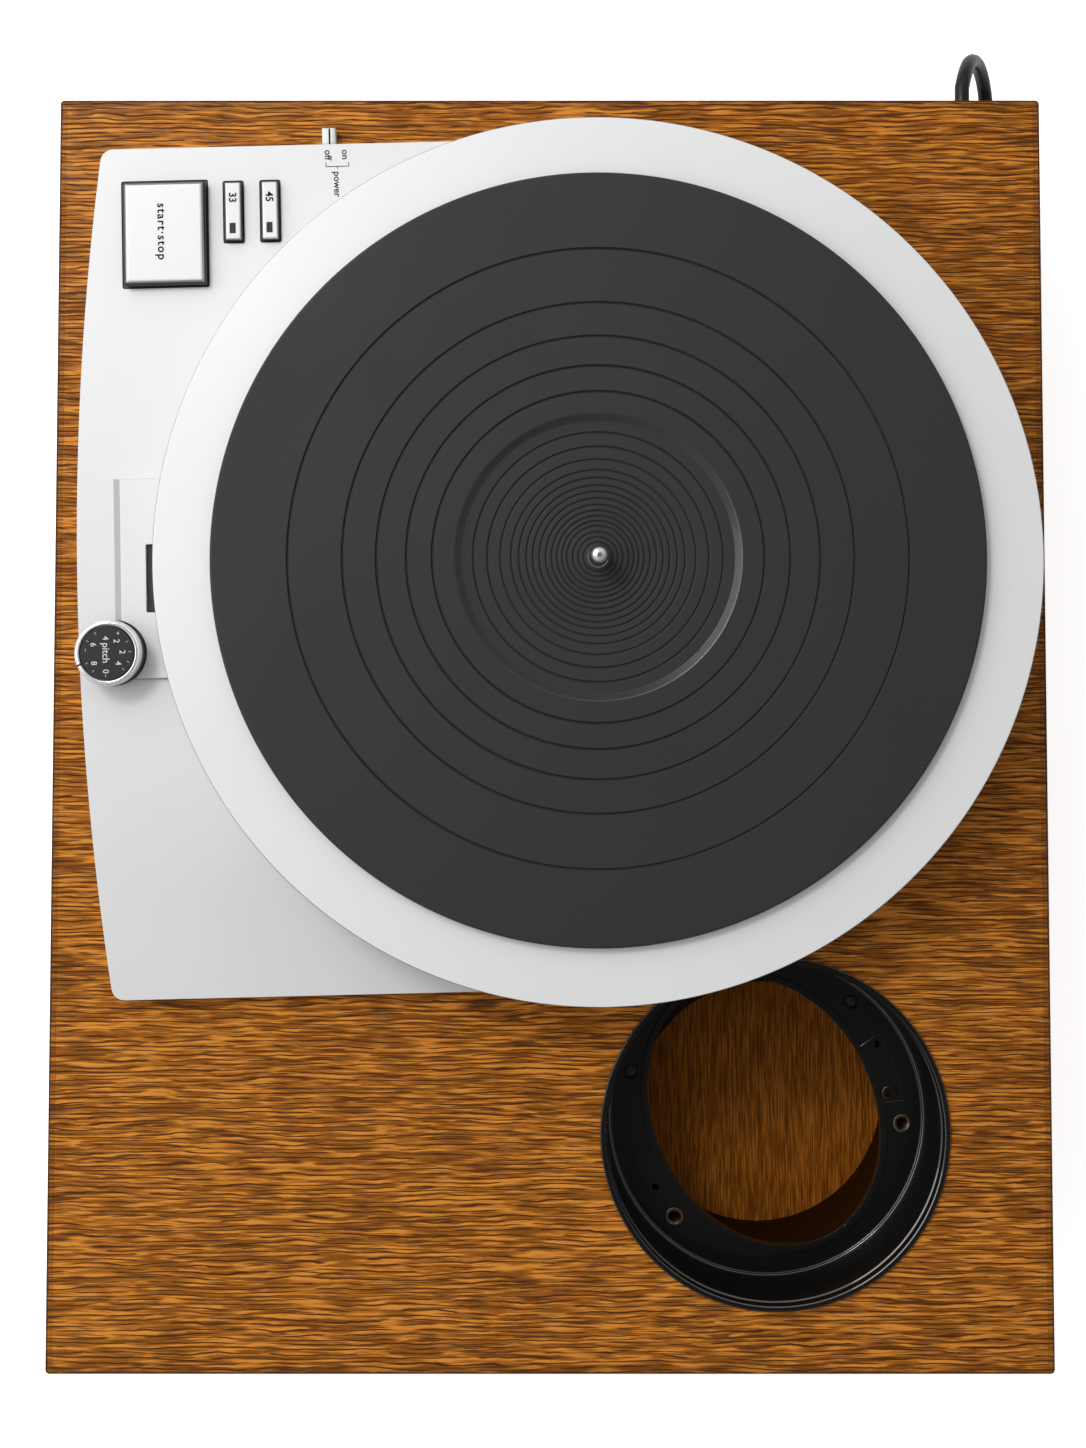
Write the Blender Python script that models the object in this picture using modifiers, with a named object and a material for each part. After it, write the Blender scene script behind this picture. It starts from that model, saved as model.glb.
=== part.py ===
import math

import bmesh
import bpy
from mathutils import Vector

# Direct drive turntable: a motor unit in a veneered wooden plinth, with a well for a tone arm.
# Lengths are in metres and angles in degrees. +X is the operator's right, +Y is away from the
# operator and +Z is up. The origin lies on the floor, below the middle of the plinth.

# Shared fits
GAP = 0.0003
OVERRUN = 0.002
SLIDE_CLEARANCE = 0.0003
MERGE_DISTANCE = 0.00001
WELD_DISTANCE = 0.000001

# Plinth
PLINTH_BODY = 0.085
TOP_BOARD = 0.020
SIDE_BOARD = 0.012
FLOOR_BOARD = 0.015
MITRE_GAP = 0.0002
EDGE_ROUND = 0.0016
CORNER_ROUND = 0.0015
FOOT_HEIGHT = 0.024
FOOT_RADIUS = 0.019
FOOT_TAPER = 0.002
FOOT_GROOVE = 0.0012
FOOT_INSET = 0.0325

# The platter decides the size of the deck and, with the arm well, that of the plinth
PLATTER_RADIUS = 0.166
PLATTER_OVERHANG = 0.0016
DECK_APRON = 0.0343
DECK_REAR_INSET = 0.008
FRONT_MARGIN = 0.0100
REAR_MARGIN = 0.0087
LEFT_MARGIN = 0.0160
ARM_DISTANCE = 0.0535
ARM_REAR_MARGIN = 0.1061
ARM_MARGIN = 0.0905
UNIT_TURN = 1.4

# Deck plate: a cast plate with a skirt, its front edge bowed outwards
DECK_HALF_LENGTH = PLATTER_RADIUS - PLATTER_OVERHANG
DECK_FRONT = PLATTER_RADIUS + DECK_APRON
DECK_REAR = PLATTER_RADIUS - DECK_REAR_INSET
DECK_BOW = 0.0117
DECK_CORNER = 0.005
DECK_SHIFT = -0.001
DECK_HEIGHT = 0.006
DECK_SHEET = 0.003
DECK_SKIRT = 0.003
DECK_EDGE_ROUND = 0.0012

PLINTH_LENGTH = LEFT_MARGIN + 2 * PLATTER_RADIUS + ARM_DISTANCE + ARM_MARGIN
PLINTH_WIDTH = FRONT_MARGIN + DECK_FRONT + PLATTER_RADIUS + REAR_MARGIN
PLATTER_AXIS_X = LEFT_MARGIN + PLATTER_RADIUS - PLINTH_LENGTH / 2
PLATTER_AXIS_Y = FRONT_MARGIN + DECK_FRONT - PLINTH_WIDTH / 2
ARM_AXIS_X = PLINTH_LENGTH / 2 - ARM_MARGIN
ARM_AXIS_Y = PLINTH_WIDTH / 2 - ARM_REAR_MARGIN

# Cut-out for the motor unit
CUTOUT_INSET = 0.0055
CUTOUT_CORNER = 0.010
CUTOUT_REAR_LEDGE = 0.016
CUTOUT_REAR_RADIUS = PLATTER_RADIUS - CUTOUT_REAR_LEDGE
CUTOUT_SHOULDER = 0.020
CUTOUT_SHOULDER_ROUND = 0.004

# Chassis tray under the deck
TRAY_CLEARANCE = 0.002
TRAY_WALL = 0.0015
TRAY_LIP = 0.0015
TRAY_DEPTH = 0.054
TRAY_VENT_LENGTH = 0.040
TRAY_VENT_WIDTH = 0.003
TRAY_VENT_PITCH = 0.008
TRAY_VENT_COUNT = 5
TRAY_VENT_INSET = 0.050
TRAY_VENT_X = CUTOUT_REAR_RADIUS - TRAY_VENT_INSET
TRAY_VENT_Y = 0.030

# Raised pad of the strobe and the pitch control
PAD_LEFT = -0.0365
PAD_RIGHT = 0.0415
PAD_SETBACK = 0.0145
PAD_DEPTH = 0.0278
PAD_FRONT = DECK_FRONT - PAD_SETBACK
PAD_REAR = PAD_FRONT - PAD_DEPTH
PAD_HEIGHT = 0.002
PAD_SLOPE = 0.0024

# Strobe
STROBE_X = 0.00245
STROBE_SETBACK = 0.0308
STROBE_Y = STROBE_SETBACK - DECK_FRONT
STROBE_LENGTH = 0.0263
STROBE_WIDTH = 0.009
STROBE_LENS_DROP = 0.0006
STROBE_LENS_LIP = 0.0015
STROBE_LIP_SHEET = 0.0015
STROBE_HOUSING_WALL = 0.0015
STROBE_HOUSING_DEPTH = 0.0100
STROBE_LAMP_RADIUS = 0.003
STROBE_LAMP_LENGTH = 0.018

# Buttons
START_INSET = 0.0329
START_SETBACK = 0.0360
START_X = START_INSET - DECK_HALF_LENGTH
START_Y = START_SETBACK - DECK_FRONT
START_LENGTH = 0.0391
START_WIDTH = 0.0307
START_RISE = 0.005
START_WELL_GAP = 0.0016
START_CAP_SHEET = 0.004
START_CAP_WALL = 0.0015
START_CHAMFER = 0.0011
SPEED_INSET = 0.0248
SPEED_33_SETBACK = 0.0627
SPEED_45_SETBACK = 0.0770
SPEED_X = SPEED_INSET - DECK_HALF_LENGTH
SPEED_33_Y = SPEED_33_SETBACK - DECK_FRONT
SPEED_45_Y = SPEED_45_SETBACK - DECK_FRONT
SPEED_LENGTH = 0.0226
SPEED_WIDTH = 0.0062
SPEED_RISE = 0.003
SPEED_WELL_GAP = 0.00105
SPEED_CHAMFER = 0.0006
SPEED_LENS_X = 0.0070
SPEED_LENS_LENGTH = 0.0037
SPEED_LENS_WIDTH = 0.0020
SPEED_LENS_SHEET = 0.0008
PRESS_TRAVEL = 0.0015
BUTTON_GUIDE_DEPTH = 0.0012
BUTTON_LIP = 0.0009
BUTTON_LIP_SHEET = 0.0011
STEM_RADIUS = 0.0017
STEM_CLEARANCE = 0.0004
STEM_ENTRY = 0.0017
STEM_END_CLEARANCE = 0.0008
FRAME_PLATE_SHEET = 0.0022
FRAME_PLATE_SIDE = 0.0055
FRAME_PLATE_END = 0.0049
FRAME_PLATE_LEFT = START_X - START_LENGTH / 2 - FRAME_PLATE_SIDE
FRAME_PLATE_RIGHT = START_X + START_LENGTH / 2 + FRAME_PLATE_SIDE
FRAME_PLATE_FRONT = START_Y - START_WIDTH / 2 - FRAME_PLATE_END
FRAME_PLATE_REAR = SPEED_45_Y + SPEED_WIDTH / 2 + FRAME_PLATE_END
FRAME_COLLAR_DROP = 0.0003

# Switches below the buttons
SWITCH_DROP = 0.0016
SWITCH_HEIGHT = 0.0065
START_SWITCH_SIDE = 0.012
SPEED_SWITCH_LENGTH = 0.012
SPEED_SWITCH_WIDTH = 0.010
SWITCH_BOARD_SHEET = 0.0016
SWITCH_BOARD_INSET = 0.0050
SWITCH_BOARD_LEFT = FRAME_PLATE_LEFT + SWITCH_BOARD_INSET
SWITCH_BOARD_RIGHT = FRAME_PLATE_RIGHT - SWITCH_BOARD_INSET
SWITCH_BOARD_FRONT = FRAME_PLATE_FRONT + SWITCH_BOARD_INSET
SWITCH_BOARD_REAR = FRAME_PLATE_REAR
BOARD_POST_RADIUS = 0.0025

# Power switch
LEVER_SETBACK = 0.1002
LEVER_Y = LEVER_SETBACK - DECK_FRONT
LEVER_WIDTH = 0.0053
LEVER_REACH = 0.0068
LEVER_KNOB_TOP = 0.0052
LEVER_BAR_TOP = 0.0026
LEVER_BAR_BOTTOM = 0.0006
LEVER_TRAVEL = 0.0065
LEVER_SIDE_CLEARANCE = 0.0006
LEVER_TONGUE = 0.003
LEVER_TONGUE_DEPTH = 0.006
LEVER_ROUND = 0.0007
POWER_SWITCH_INSET = 0.0194
POWER_SWITCH_X = POWER_SWITCH_INSET - DECK_HALF_LENGTH
POWER_SWITCH_LENGTH = 0.010
POWER_SWITCH_HEIGHT = 0.012
POWER_SWITCH_END = 0.004
POWER_SLOT_CLEARANCE = 0.0008

# Pitch control: a ring that turns round a fixed dial
PITCH_X = 0.0309
PITCH_SETBACK = 0.0141
PITCH_Y = PITCH_SETBACK - DECK_FRONT
PITCH_RING_RADIUS = 0.0125
PITCH_RING_WALL = 0.0019
PITCH_RING_HEIGHT = 0.0110
PITCH_RING_ROUND = 0.0012
PITCH_BASE_HEIGHT = 0.0023
PITCH_WEB_SHEET = 0.003
PITCH_DIAL_SHEET = 0.0022
PITCH_DIAL_DROP = 0.0004
PITCH_POST_RADIUS = 0.0012
PITCH_POST_CLEARANCE = 0.0004
PITCH_SLEEVE_WALL = 0.0010
PITCH_SLEEVE_CLEARANCE = 0.0004
PITCH_BUSH_WALL = 0.0014
PITCH_BUSH_CLEARANCE = 0.0003
PITCH_POT_LENGTH = 0.013
PITCH_POT_WIDTH = 0.0086
PITCH_POT_HEIGHT = 0.010
PITCH_POT_FLOOR = 0.0015
PITCH_POINTER_WIDTH = 0.0007
PITCH_POINTER_DEPTH = 0.0003
PITCH_POINTER_ANGLE = 292.4

# Platter, mat and spindle
PLATTER_CLEARANCE = 0.0045
PLATTER_RIM_HEIGHT = 0.0205
PLATTER_RIM_WALL = 0.010
PLATTER_SHEET = 0.006
PLATTER_EDGE_ROUND = 0.0007
PLATTER_BAND_MARGIN = 0.0025
PLATTER_BAND_DEPTH = 0.0004
PLATTER_WEB_SHARE = 0.3735
PLATTER_WEB_RADIUS = PLATTER_RADIUS * PLATTER_WEB_SHARE
PLATTER_WEB_SHEET = 0.015
PLATTER_HUB_RADIUS = 0.0115
PLATTER_HUB_LENGTH = 0.022
PLATTER_RIB_COUNT = 8
PLATTER_RIB_SHEET = 0.003
PLATTER_RIB_DEPTH = 0.006
MAT_LEDGE = 0.022
MAT_RADIUS = PLATTER_RADIUS - MAT_LEDGE
MAT_THICKNESS = 0.004
MAT_EDGE_ROUND = 0.0012
MAT_GROOVE_WIDTH = 0.0012
MAT_GROOVE_DEPTH = 0.0006
MAT_RECESS_SHARE = 0.3514
MAT_RECESS_RADIUS = MAT_RADIUS * MAT_RECESS_SHARE
MAT_RECESS_SLOPE = 0.0023
MAT_RECESS_DEPTH = 0.0008
MAT_RIDGE_DEPTH = 0.0004
MAT_BORE_CLEARANCE = 0.0004
MAT_GROOVE_SHARES = (0.427, 0.494, 0.571, 0.658, 0.799)
MAT_RIDGE_SHARES = (
    0.134, 0.172, 0.206, 0.241, 0.279, 0.312, 0.356, 0.403,
    0.450, 0.506, 0.565, 0.628, 0.700, 0.790, 0.905,
)
SPINDLE_RADIUS = 0.005
SPINDLE_TIP_RADIUS = 0.0036
SPINDLE_ABOVE_MAT = 0.015
SPINDLE_TIP_DOME = 0.0034
SPINDLE_TIP_SWEEP = 72.0
SPINDLE_END_DOME = 0.0015

# Motor
MOTOR_PLANE = -0.013
AIR_GAP = 0.001
MAGNET_HEIGHT = 0.014
MAGNET_THICKNESS = 0.006
YOKE_INSET = 0.001
YOKE_RADIUS = PLATTER_WEB_RADIUS - YOKE_INSET
YOKE_SHEET = 0.0025
YOKE_LIP = 0.001
YOKE_BORE_CLEARANCE = 0.0005
STATOR_STACK = 0.008
STATOR_BORE = 0.020
STATOR_BACK = 0.006
STATOR_TEETH = 12
STATOR_TOOTH_WIDTH = 0.007
STATOR_TIP_LENGTH = 0.0035
STATOR_TIP_SHARE = 0.375
WINDING_HEIGHT = 0.0125
WINDING_SHEET = 0.0018
WINDING_TOOTH_CLEARANCE = 0.0003
WINDING_TIP_CLEARANCE = 0.0010
WINDING_RING = 0.0030
FRAME_WALL = 0.003
FRAME_ROTOR_CLEARANCE = 0.0055
FRAME_FLOOR_CLEARANCE = 0.006
FRAME_FLANGE = 0.0085
FRAME_DECK_CLEARANCE = 0.0005
FRAME_SEAT = 0.004
FRAME_WINDOW_COUNT = 6
FRAME_WINDOW_RADIUS = 0.007
HOUSING_RADIUS = 0.009
HOUSING_WALL = 0.0025
HOUSING_FLANGE_RADIUS = 0.017
HOUSING_FLANGE_SHEET = 0.003
HOUSING_ABOVE = 0.009
HOUSING_TRAY_CLEARANCE = 0.010
HOUSING_BELOW = TRAY_DEPTH - HOUSING_TRAY_CLEARANCE
BUSH_LENGTH = 0.008
BUSH_INSET = 0.001
BUSH_CLEARANCE = 0.0003
THRUST_PAD_SHEET = 0.0017
CAP_SHEET = 0.0037

# Electronics in the tray
MAIN_BOARD_LEFT_INSET = 0.0264
MAIN_BOARD_RIGHT = 0.055
MAIN_BOARD_SETBACK = 0.0283
MAIN_BOARD_MOTOR_CLEARANCE = 0.0165
MAIN_BOARD_LEVEL = -0.022
MAIN_BOARD_SHEET = 0.0016
MAIN_BOARD_POST_INSET = 0.006
COMPONENT_HEIGHT = 0.007
# Each row: place across the board, place along it, length and width as shares of its two sides,
# and height as a share of the tallest component
COMPONENT_SHARES = (
    (0.30, 0.50, 0.16, 0.12, 0.45),
    (0.55, 0.62, 0.10, 0.20, 0.40),
    (0.72, 0.35, 0.07, 0.22, 1.00),
    (0.86, 0.60, 0.09, 0.30, 1.00),
    (0.46, 0.24, 0.12, 0.10, 0.55),
)
TRANSFORMER_INSET = 0.0584
TRANSFORMER_SETBACK = 0.0723
TRANSFORMER_X = DECK_HALF_LENGTH - TRANSFORMER_INSET
TRANSFORMER_Y = TRANSFORMER_SETBACK - DECK_FRONT
TRANSFORMER_LENGTH = 0.052
TRANSFORMER_WIDTH = 0.024
TRANSFORMER_HEIGHT = 0.036
TRANSFORMER_LIMB = 0.009
TRANSFORMER_CORE_LIMB = 0.016
TRANSFORMER_WINDOW_CLEARANCE = 0.0004
TRANSFORMER_COIL_OVERHANG = 0.007

# Arm collar: a moulded stepped ring with a lobed flange at its foot
COLLAR_RIM_RADIUS = 0.0672
COLLAR_RIM_HEIGHT = 0.0011
COLLAR_RIM_ROUND = 0.0004
COLLAR_RIM_WIDTH = 0.0023
COLLAR_STEP_DEPTH = 0.0030
COLLAR_STEP = 0.0007
COLLAR_DEPTH = 0.031
COLLAR_FLOOR_INSET = 0.0043
COLLAR_FLOOR_RADIUS = COLLAR_RIM_RADIUS - COLLAR_FLOOR_INSET
COLLAR_WALL = 0.0018
COLLAR_FLANGE_SHEET = 0.003
COLLAR_BORE_CLEARANCE = 0.0005
COLLAR_MOUTH_LONG_INSET = 0.0122
COLLAR_MOUTH_LONG = COLLAR_RIM_RADIUS - COLLAR_MOUTH_LONG_INSET
COLLAR_MOUTH_SHORT_INSET = 0.0232
COLLAR_MOUTH_SHORT = COLLAR_RIM_RADIUS - COLLAR_MOUTH_SHORT_INSET
COLLAR_MOUTH_ANGLE = 27.0
COLLAR_MOUTH_SHIFT = 0.0020
COLLAR_MOUTH_LIP = 0.0012
COLLAR_LIP_HEIGHT = 0.0005
COLLAR_PAD_HEIGHT = 0.0008
COLLAR_PAD_INSET = 0.0117
COLLAR_PAD_EDGE = COLLAR_RIM_RADIUS - COLLAR_PAD_INSET
INSERT_INSET = 0.0128
INSERT_CIRCLE = COLLAR_RIM_RADIUS - INSERT_INSET
INSERT_ANGLES = {"back": 86.7, "front": -42.7}
INSERT_RADIUS = 0.0037
INSERT_BORE = 0.0021
INSERT_PROUD = 0.0007
INSERT_STEP = 0.0006
SCREW_INSET = 0.0104
SCREW_CIRCLE = COLLAR_RIM_RADIUS - SCREW_INSET
SCREW_ANGLES = (142.6, -107.9)
SCREW_RADIUS = 0.0019
SCREW_HEAD_RADIUS = 0.0031
SCREW_HEAD_DEPTH = 0.0013
BOSS_INSET = 0.0173
BOSS_CIRCLE = COLLAR_RIM_RADIUS - BOSS_INSET
BOSS_ANGLE = 100.4
BOSS_RADIUS = 0.0034
BOSS_HOLE = 0.0016
BOSS_HEIGHT = 0.0010
PILOT_INSET = 0.0148
PILOT_CIRCLE = COLLAR_RIM_RADIUS - PILOT_INSET
PILOT_ANGLES = (122.4, -57.7)
PILOT_RADIUS = 0.0014
COLLAR_PAD_SPANS = ((96.0, 126.0), (-74.0, -50.0))

# Wooden block that carries the collar
BLOCK_BORE_INSET = 0.0147
BLOCK_BORE = COLLAR_RIM_RADIUS - BLOCK_BORE_INSET
BLOCK_LEFT_WALL = 0.005
BLOCK_SIDE_WALL = 0.0108
BLOCK_HALF_WIDTH = COLLAR_RIM_RADIUS + BLOCK_SIDE_WALL

# Mains cord. It leaves the left side near the back, turns down to the floor and back under the
# plinth, where the rest of its length is coiled.
CORD_DIAMETER = 0.0062
CORD_GAP = 0.0003
CORD_SPACING = 0.0115
GLAND_INSET = 0.018
GLAND_Y = PLINTH_WIDTH / 2 - GLAND_INSET
GLAND_HEIGHT = 0.0532
GLAND_HOLE = 0.0050
GLAND_BODY_CLEARANCE = 0.0003
GLAND_FLANGE_RADIUS = 0.0072
GLAND_FLANGE_SHEET = 0.0016
GLAND_CLIP_RADIUS = 0.0056
GLAND_NOSE_LENGTH = 0.015
GLAND_NOSE_RADIUS = 0.0037
GLAND_NOSE_BASE = 0.0047
GLAND_FLUTE_DEPTH = 0.0005
GLAND_FLUTES = 4
GLAND_FLUTE_SHARE = 1.5
# Both routes are measured from the plinth's back left corner, at the floor
LEAD_ROUTE = (
    (-0.0292, -0.0157, 0.0490),
    (-0.0355, -0.0128, 0.0430),
    (-0.0393, -0.0091, 0.0350),
    (-0.0402, -0.0053, 0.0268),
    (-0.0380, -0.0016, 0.0183),
    (-0.0330, 0.0014, 0.0108),
    (-0.0250, 0.0032, 0.0058),
    (-0.0140, 0.0039, 0.0042),
    (0.0010, 0.0039, 0.0040),
    (0.0180, 0.0033, 0.0040),
    (0.0350, 0.0017, 0.0040),
    (0.0510, -0.0017, 0.0040),
    (0.0660, -0.0066, 0.0040),
    (0.0805, -0.0125, 0.0040),
    (0.0950, -0.0189, 0.0040),
    (0.1095, -0.0249, 0.0040),
)
TAIL_ROUTE = (
    (0.1090, -0.1189, 0.0084),
    (0.0960, -0.1205, 0.0060),
    (0.0830, -0.1245, 0.0044),
    (0.0715, -0.1315, 0.0040),
    (0.0625, -0.1415, 0.0040),
    (0.0570, -0.1535, 0.0040),
    (0.0550, -0.1665, 0.0040),
    (0.0565, -0.1795, 0.0040),
    (0.0615, -0.1915, 0.0040),
    (0.0695, -0.2015, 0.0040),
    (0.0805, -0.2080, 0.0044),
    (0.0930, -0.2110, 0.0055),
    (0.1060, -0.2115, 0.0062),
)
COIL_INSET_X = 0.141
COIL_INSET_Y = 0.0745
COIL_X = COIL_INSET_X - PLINTH_LENGTH / 2
COIL_Y = PLINTH_WIDTH / 2 - COIL_INSET_Y
COIL_LOW = 0.0040
COIL_MEAN_RADIUS = 0.03434
COIL_TURNS = 3
COIL_GAP = 0.00047
COIL_POINTS = 24
TIE_SHEET = 0.0005
TIE_WIDTH = 0.005
TIE_FLOOR = 0.0001
TIE_CLEARANCE = 0.0006
PLUG_LENGTH = 0.030
PLUG_WIDTH = 0.022
PLUG_THICKNESS = 0.0122
PLUG_FLOOR = 0.0001
PLUG_NECK_WIDTH = 0.008
PLUG_NECK_LENGTH = 0.010
PLUG_ROUND = 0.0022
PLUG_SLOT_DEPTH = 0.006
BLADE_LENGTH = 0.017
BLADE_WIDTH = 0.0063
BLADE_SHEET = 0.0015
BLADE_SPREAD = 0.0127

# Facets
ROUND_STEPS = 48
MAT_STEPS = 32
MID_STEPS = 32
TURNED_STEPS = 24
SMALL_STEPS = 20
HOLE_STEPS = 12
BOW_STEPS = 12
CORNER_STEPS = 4
SMOOTH_ANGLE = 35.0
ROUTE_STEPS = 24

# Levels above the floor, and levels above the plinth's top face
PLINTH_TOP = FOOT_HEIGHT + PLINTH_BODY
BOARD_UNDERSIDE = PLINTH_TOP - TOP_BOARD
INNER_FLOOR = FOOT_HEIGHT + FLOOR_BOARD
DECK_UNDERSIDE = DECK_HEIGHT - DECK_SHEET
PAD_TOP = DECK_HEIGHT + PAD_HEIGHT
PLATTER_BOTTOM = PAD_TOP + PLATTER_CLEARANCE
PLATTER_TOP = PLATTER_BOTTOM + PLATTER_RIM_HEIGHT
MAT_TOP = PLATTER_TOP + GAP + MAT_THICKNESS
SPINDLE_TOP = MAT_TOP + SPINDLE_ABOVE_MAT
YOKE_TOP = PLATTER_TOP - PLATTER_WEB_SHEET - GAP
MAGNET_BOTTOM = MOTOR_PLANE - MAGNET_HEIGHT / 2
YOKE_BOTTOM = MAGNET_BOTTOM - YOKE_LIP
MAGNET_RADIUS = YOKE_RADIUS - YOKE_SHEET - GAP
STATOR_RADIUS = MAGNET_RADIUS - MAGNET_THICKNESS - AIR_GAP
STATOR_BOTTOM = MOTOR_PLANE - STATOR_STACK / 2
STATOR_TOP = MOTOR_PLANE + STATOR_STACK / 2
FRAME_INNER = YOKE_RADIUS + FRAME_ROTOR_CLEARANCE
FRAME_OUTER = FRAME_INNER + FRAME_WALL
FRAME_FLOOR_TOP = YOKE_BOTTOM - FRAME_FLOOR_CLEARANCE
FRAME_FLOOR_BOTTOM = FRAME_FLOOR_TOP - FRAME_WALL
MAIN_BOARD_LEFT = MAIN_BOARD_LEFT_INSET - DECK_HALF_LENGTH
MAIN_BOARD_FRONT = MAIN_BOARD_SETBACK - DECK_FRONT
MAIN_BOARD_REAR = -FRAME_OUTER - MAIN_BOARD_MOTOR_CLEARANCE
HOUSING_BORE = HOUSING_RADIUS - HOUSING_WALL
FRAME_PLATE_TOP = DECK_UNDERSIDE - GAP
FRAME_PLATE_BOTTOM = FRAME_PLATE_TOP - FRAME_PLATE_SHEET
BUTTON_LIP_TOP = FRAME_PLATE_BOTTOM - GAP
BUTTON_BOTTOM = BUTTON_LIP_TOP - BUTTON_LIP_SHEET
SWITCH_TOP = BUTTON_BOTTOM - SWITCH_DROP
SWITCH_BOTTOM = SWITCH_TOP - SWITCH_HEIGHT
SWITCH_BOARD_TOP = SWITCH_BOTTOM - GAP
STEM_END = SWITCH_TOP - STEM_ENTRY
PITCH_BASE_TOP = DECK_HEIGHT + GAP + PITCH_BASE_HEIGHT
PITCH_RING_BOTTOM = PITCH_BASE_TOP + GAP
PITCH_RING_TOP = PITCH_RING_BOTTOM + PITCH_RING_HEIGHT
PITCH_SLEEVE_INNER = PITCH_POST_RADIUS + PITCH_POST_CLEARANCE
PITCH_SLEEVE_RADIUS = PITCH_SLEEVE_INNER + PITCH_SLEEVE_WALL
PITCH_BUSH_INNER = PITCH_SLEEVE_RADIUS + PITCH_SLEEVE_CLEARANCE
PITCH_BUSH_RADIUS = PITCH_BUSH_INNER + PITCH_BUSH_WALL
PITCH_HOLE_RADIUS = PITCH_BUSH_RADIUS + PITCH_BUSH_CLEARANCE
PITCH_POT_TOP = DECK_UNDERSIDE - GAP
PITCH_POT_BOTTOM = PITCH_POT_TOP - PITCH_POT_HEIGHT
COLLAR_BODY_RADIUS = COLLAR_RIM_RADIUS - COLLAR_RIM_WIDTH + COLLAR_WALL
COLLAR_BORE = COLLAR_BODY_RADIUS + COLLAR_BORE_CLEARANCE
COLLAR_BOTTOM = -COLLAR_DEPTH - COLLAR_FLANGE_SHEET
COIL_PITCH = CORD_DIAMETER + COIL_GAP
COIL_OUTER = COIL_MEAN_RADIUS + COIL_PITCH * COIL_TURNS / 2
COIL_INNER = COIL_MEAN_RADIUS - COIL_PITCH * COIL_TURNS / 2
COIL_HIGH = COIL_LOW + COIL_PITCH

COLOURS = {
    "oak": ((0.36, 0.16, 0.045), 0.45, 0.0),
    "oak_inside": ((0.16, 0.075, 0.025), 0.6, 0.0),
    "deck_silver": ((0.62, 0.63, 0.64), 0.38, 0.9),
    "platter_silver": ((0.66, 0.66, 0.67), 0.34, 0.9),
    "button_silver": ((0.60, 0.60, 0.61), 0.32, 0.9),
    "chrome": ((0.75, 0.75, 0.76), 0.08, 1.0),
    "mat_rubber": ((0.035, 0.035, 0.037), 0.75, 0.0),
    "collar_black": ((0.012, 0.013, 0.015), 0.42, 0.0),
    "black_plastic": ((0.012, 0.012, 0.013), 0.45, 0.0),
    "foot_rubber": ((0.02, 0.02, 0.02), 0.8, 0.0),
    "cord_black": ((0.011, 0.011, 0.012), 0.38, 0.0),
    "brass": ((0.42, 0.30, 0.17), 0.35, 1.0),
    "bronze": ((0.40, 0.24, 0.12), 0.45, 1.0),
    "steel": ((0.50, 0.50, 0.51), 0.35, 1.0),
    "cast_frame": ((0.45, 0.45, 0.46), 0.5, 0.9),
    "magnet": ((0.05, 0.05, 0.055), 0.5, 0.2),
    "copper": ((0.55, 0.22, 0.08), 0.35, 0.8),
    "board_green": ((0.05, 0.16, 0.08), 0.5, 0.0),
    "smoke_lens": ((0.05, 0.045, 0.04), 0.1, 0.0),
    "lamp_glass": ((0.8, 0.45, 0.2), 0.1, 0.0),
    "tray_steel": ((0.10, 0.10, 0.11), 0.5, 0.6),
    "nylon": ((0.75, 0.72, 0.64), 0.5, 0.0),
}


def clear_scene():
    for thing in list(bpy.data.objects):
        bpy.data.objects.remove(thing, do_unlink=True)


def new_collection(name):
    collection = bpy.data.collections.new(name)
    bpy.context.scene.collection.children.link(collection)
    return collection


def paint(thing, colour_name):
    material = bpy.data.materials.get(colour_name)
    if material is None:
        colour, roughness, metallic = COLOURS[colour_name]
        material = bpy.data.materials.new(colour_name)
        material.use_nodes = True
        shader = material.node_tree.nodes["Principled BSDF"]
        shader.inputs["Base Color"].default_value = (*colour, 1.0)
        shader.inputs["Roughness"].default_value = roughness
        shader.inputs["Metallic"].default_value = metallic
    thing.data.materials.clear()
    thing.data.materials.append(material)


def place(thing, parent=None, at=(0, 0, 0)):
    thing.parent = parent
    thing.location = at
    return thing


def new_piece(name, data):
    thing = bpy.data.objects.new(name, data)
    parts.objects.link(thing)
    return thing


def as_cutter(thing):
    parts.objects.unlink(thing)
    cutters.objects.link(thing)
    thing.hide_render = True
    thing.display_type = "WIRE"
    return thing


def boolean(target, tool, operation):
    if tool.name not in cutters.objects:
        as_cutter(tool)
    change = target.modifiers.new(tool.name, "BOOLEAN")
    change.operation = operation
    change.solver = "EXACT"
    change.object = tool


def cut(target, tool):
    boolean(target, tool, "DIFFERENCE")


def join(target, tool):
    boolean(target, tool, "UNION")


def new_frame(name, at, turn=0.0):
    frame = bpy.data.objects.new(name, None)
    parts.objects.link(frame)
    frame.location = at
    frame.rotation_euler = (0, 0, math.radians(turn))
    return frame


def smooth(mesh):
    mesh.shade_smooth()
    mesh.set_sharp_from_angle(angle=math.radians(SMOOTH_ANGLE))


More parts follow.
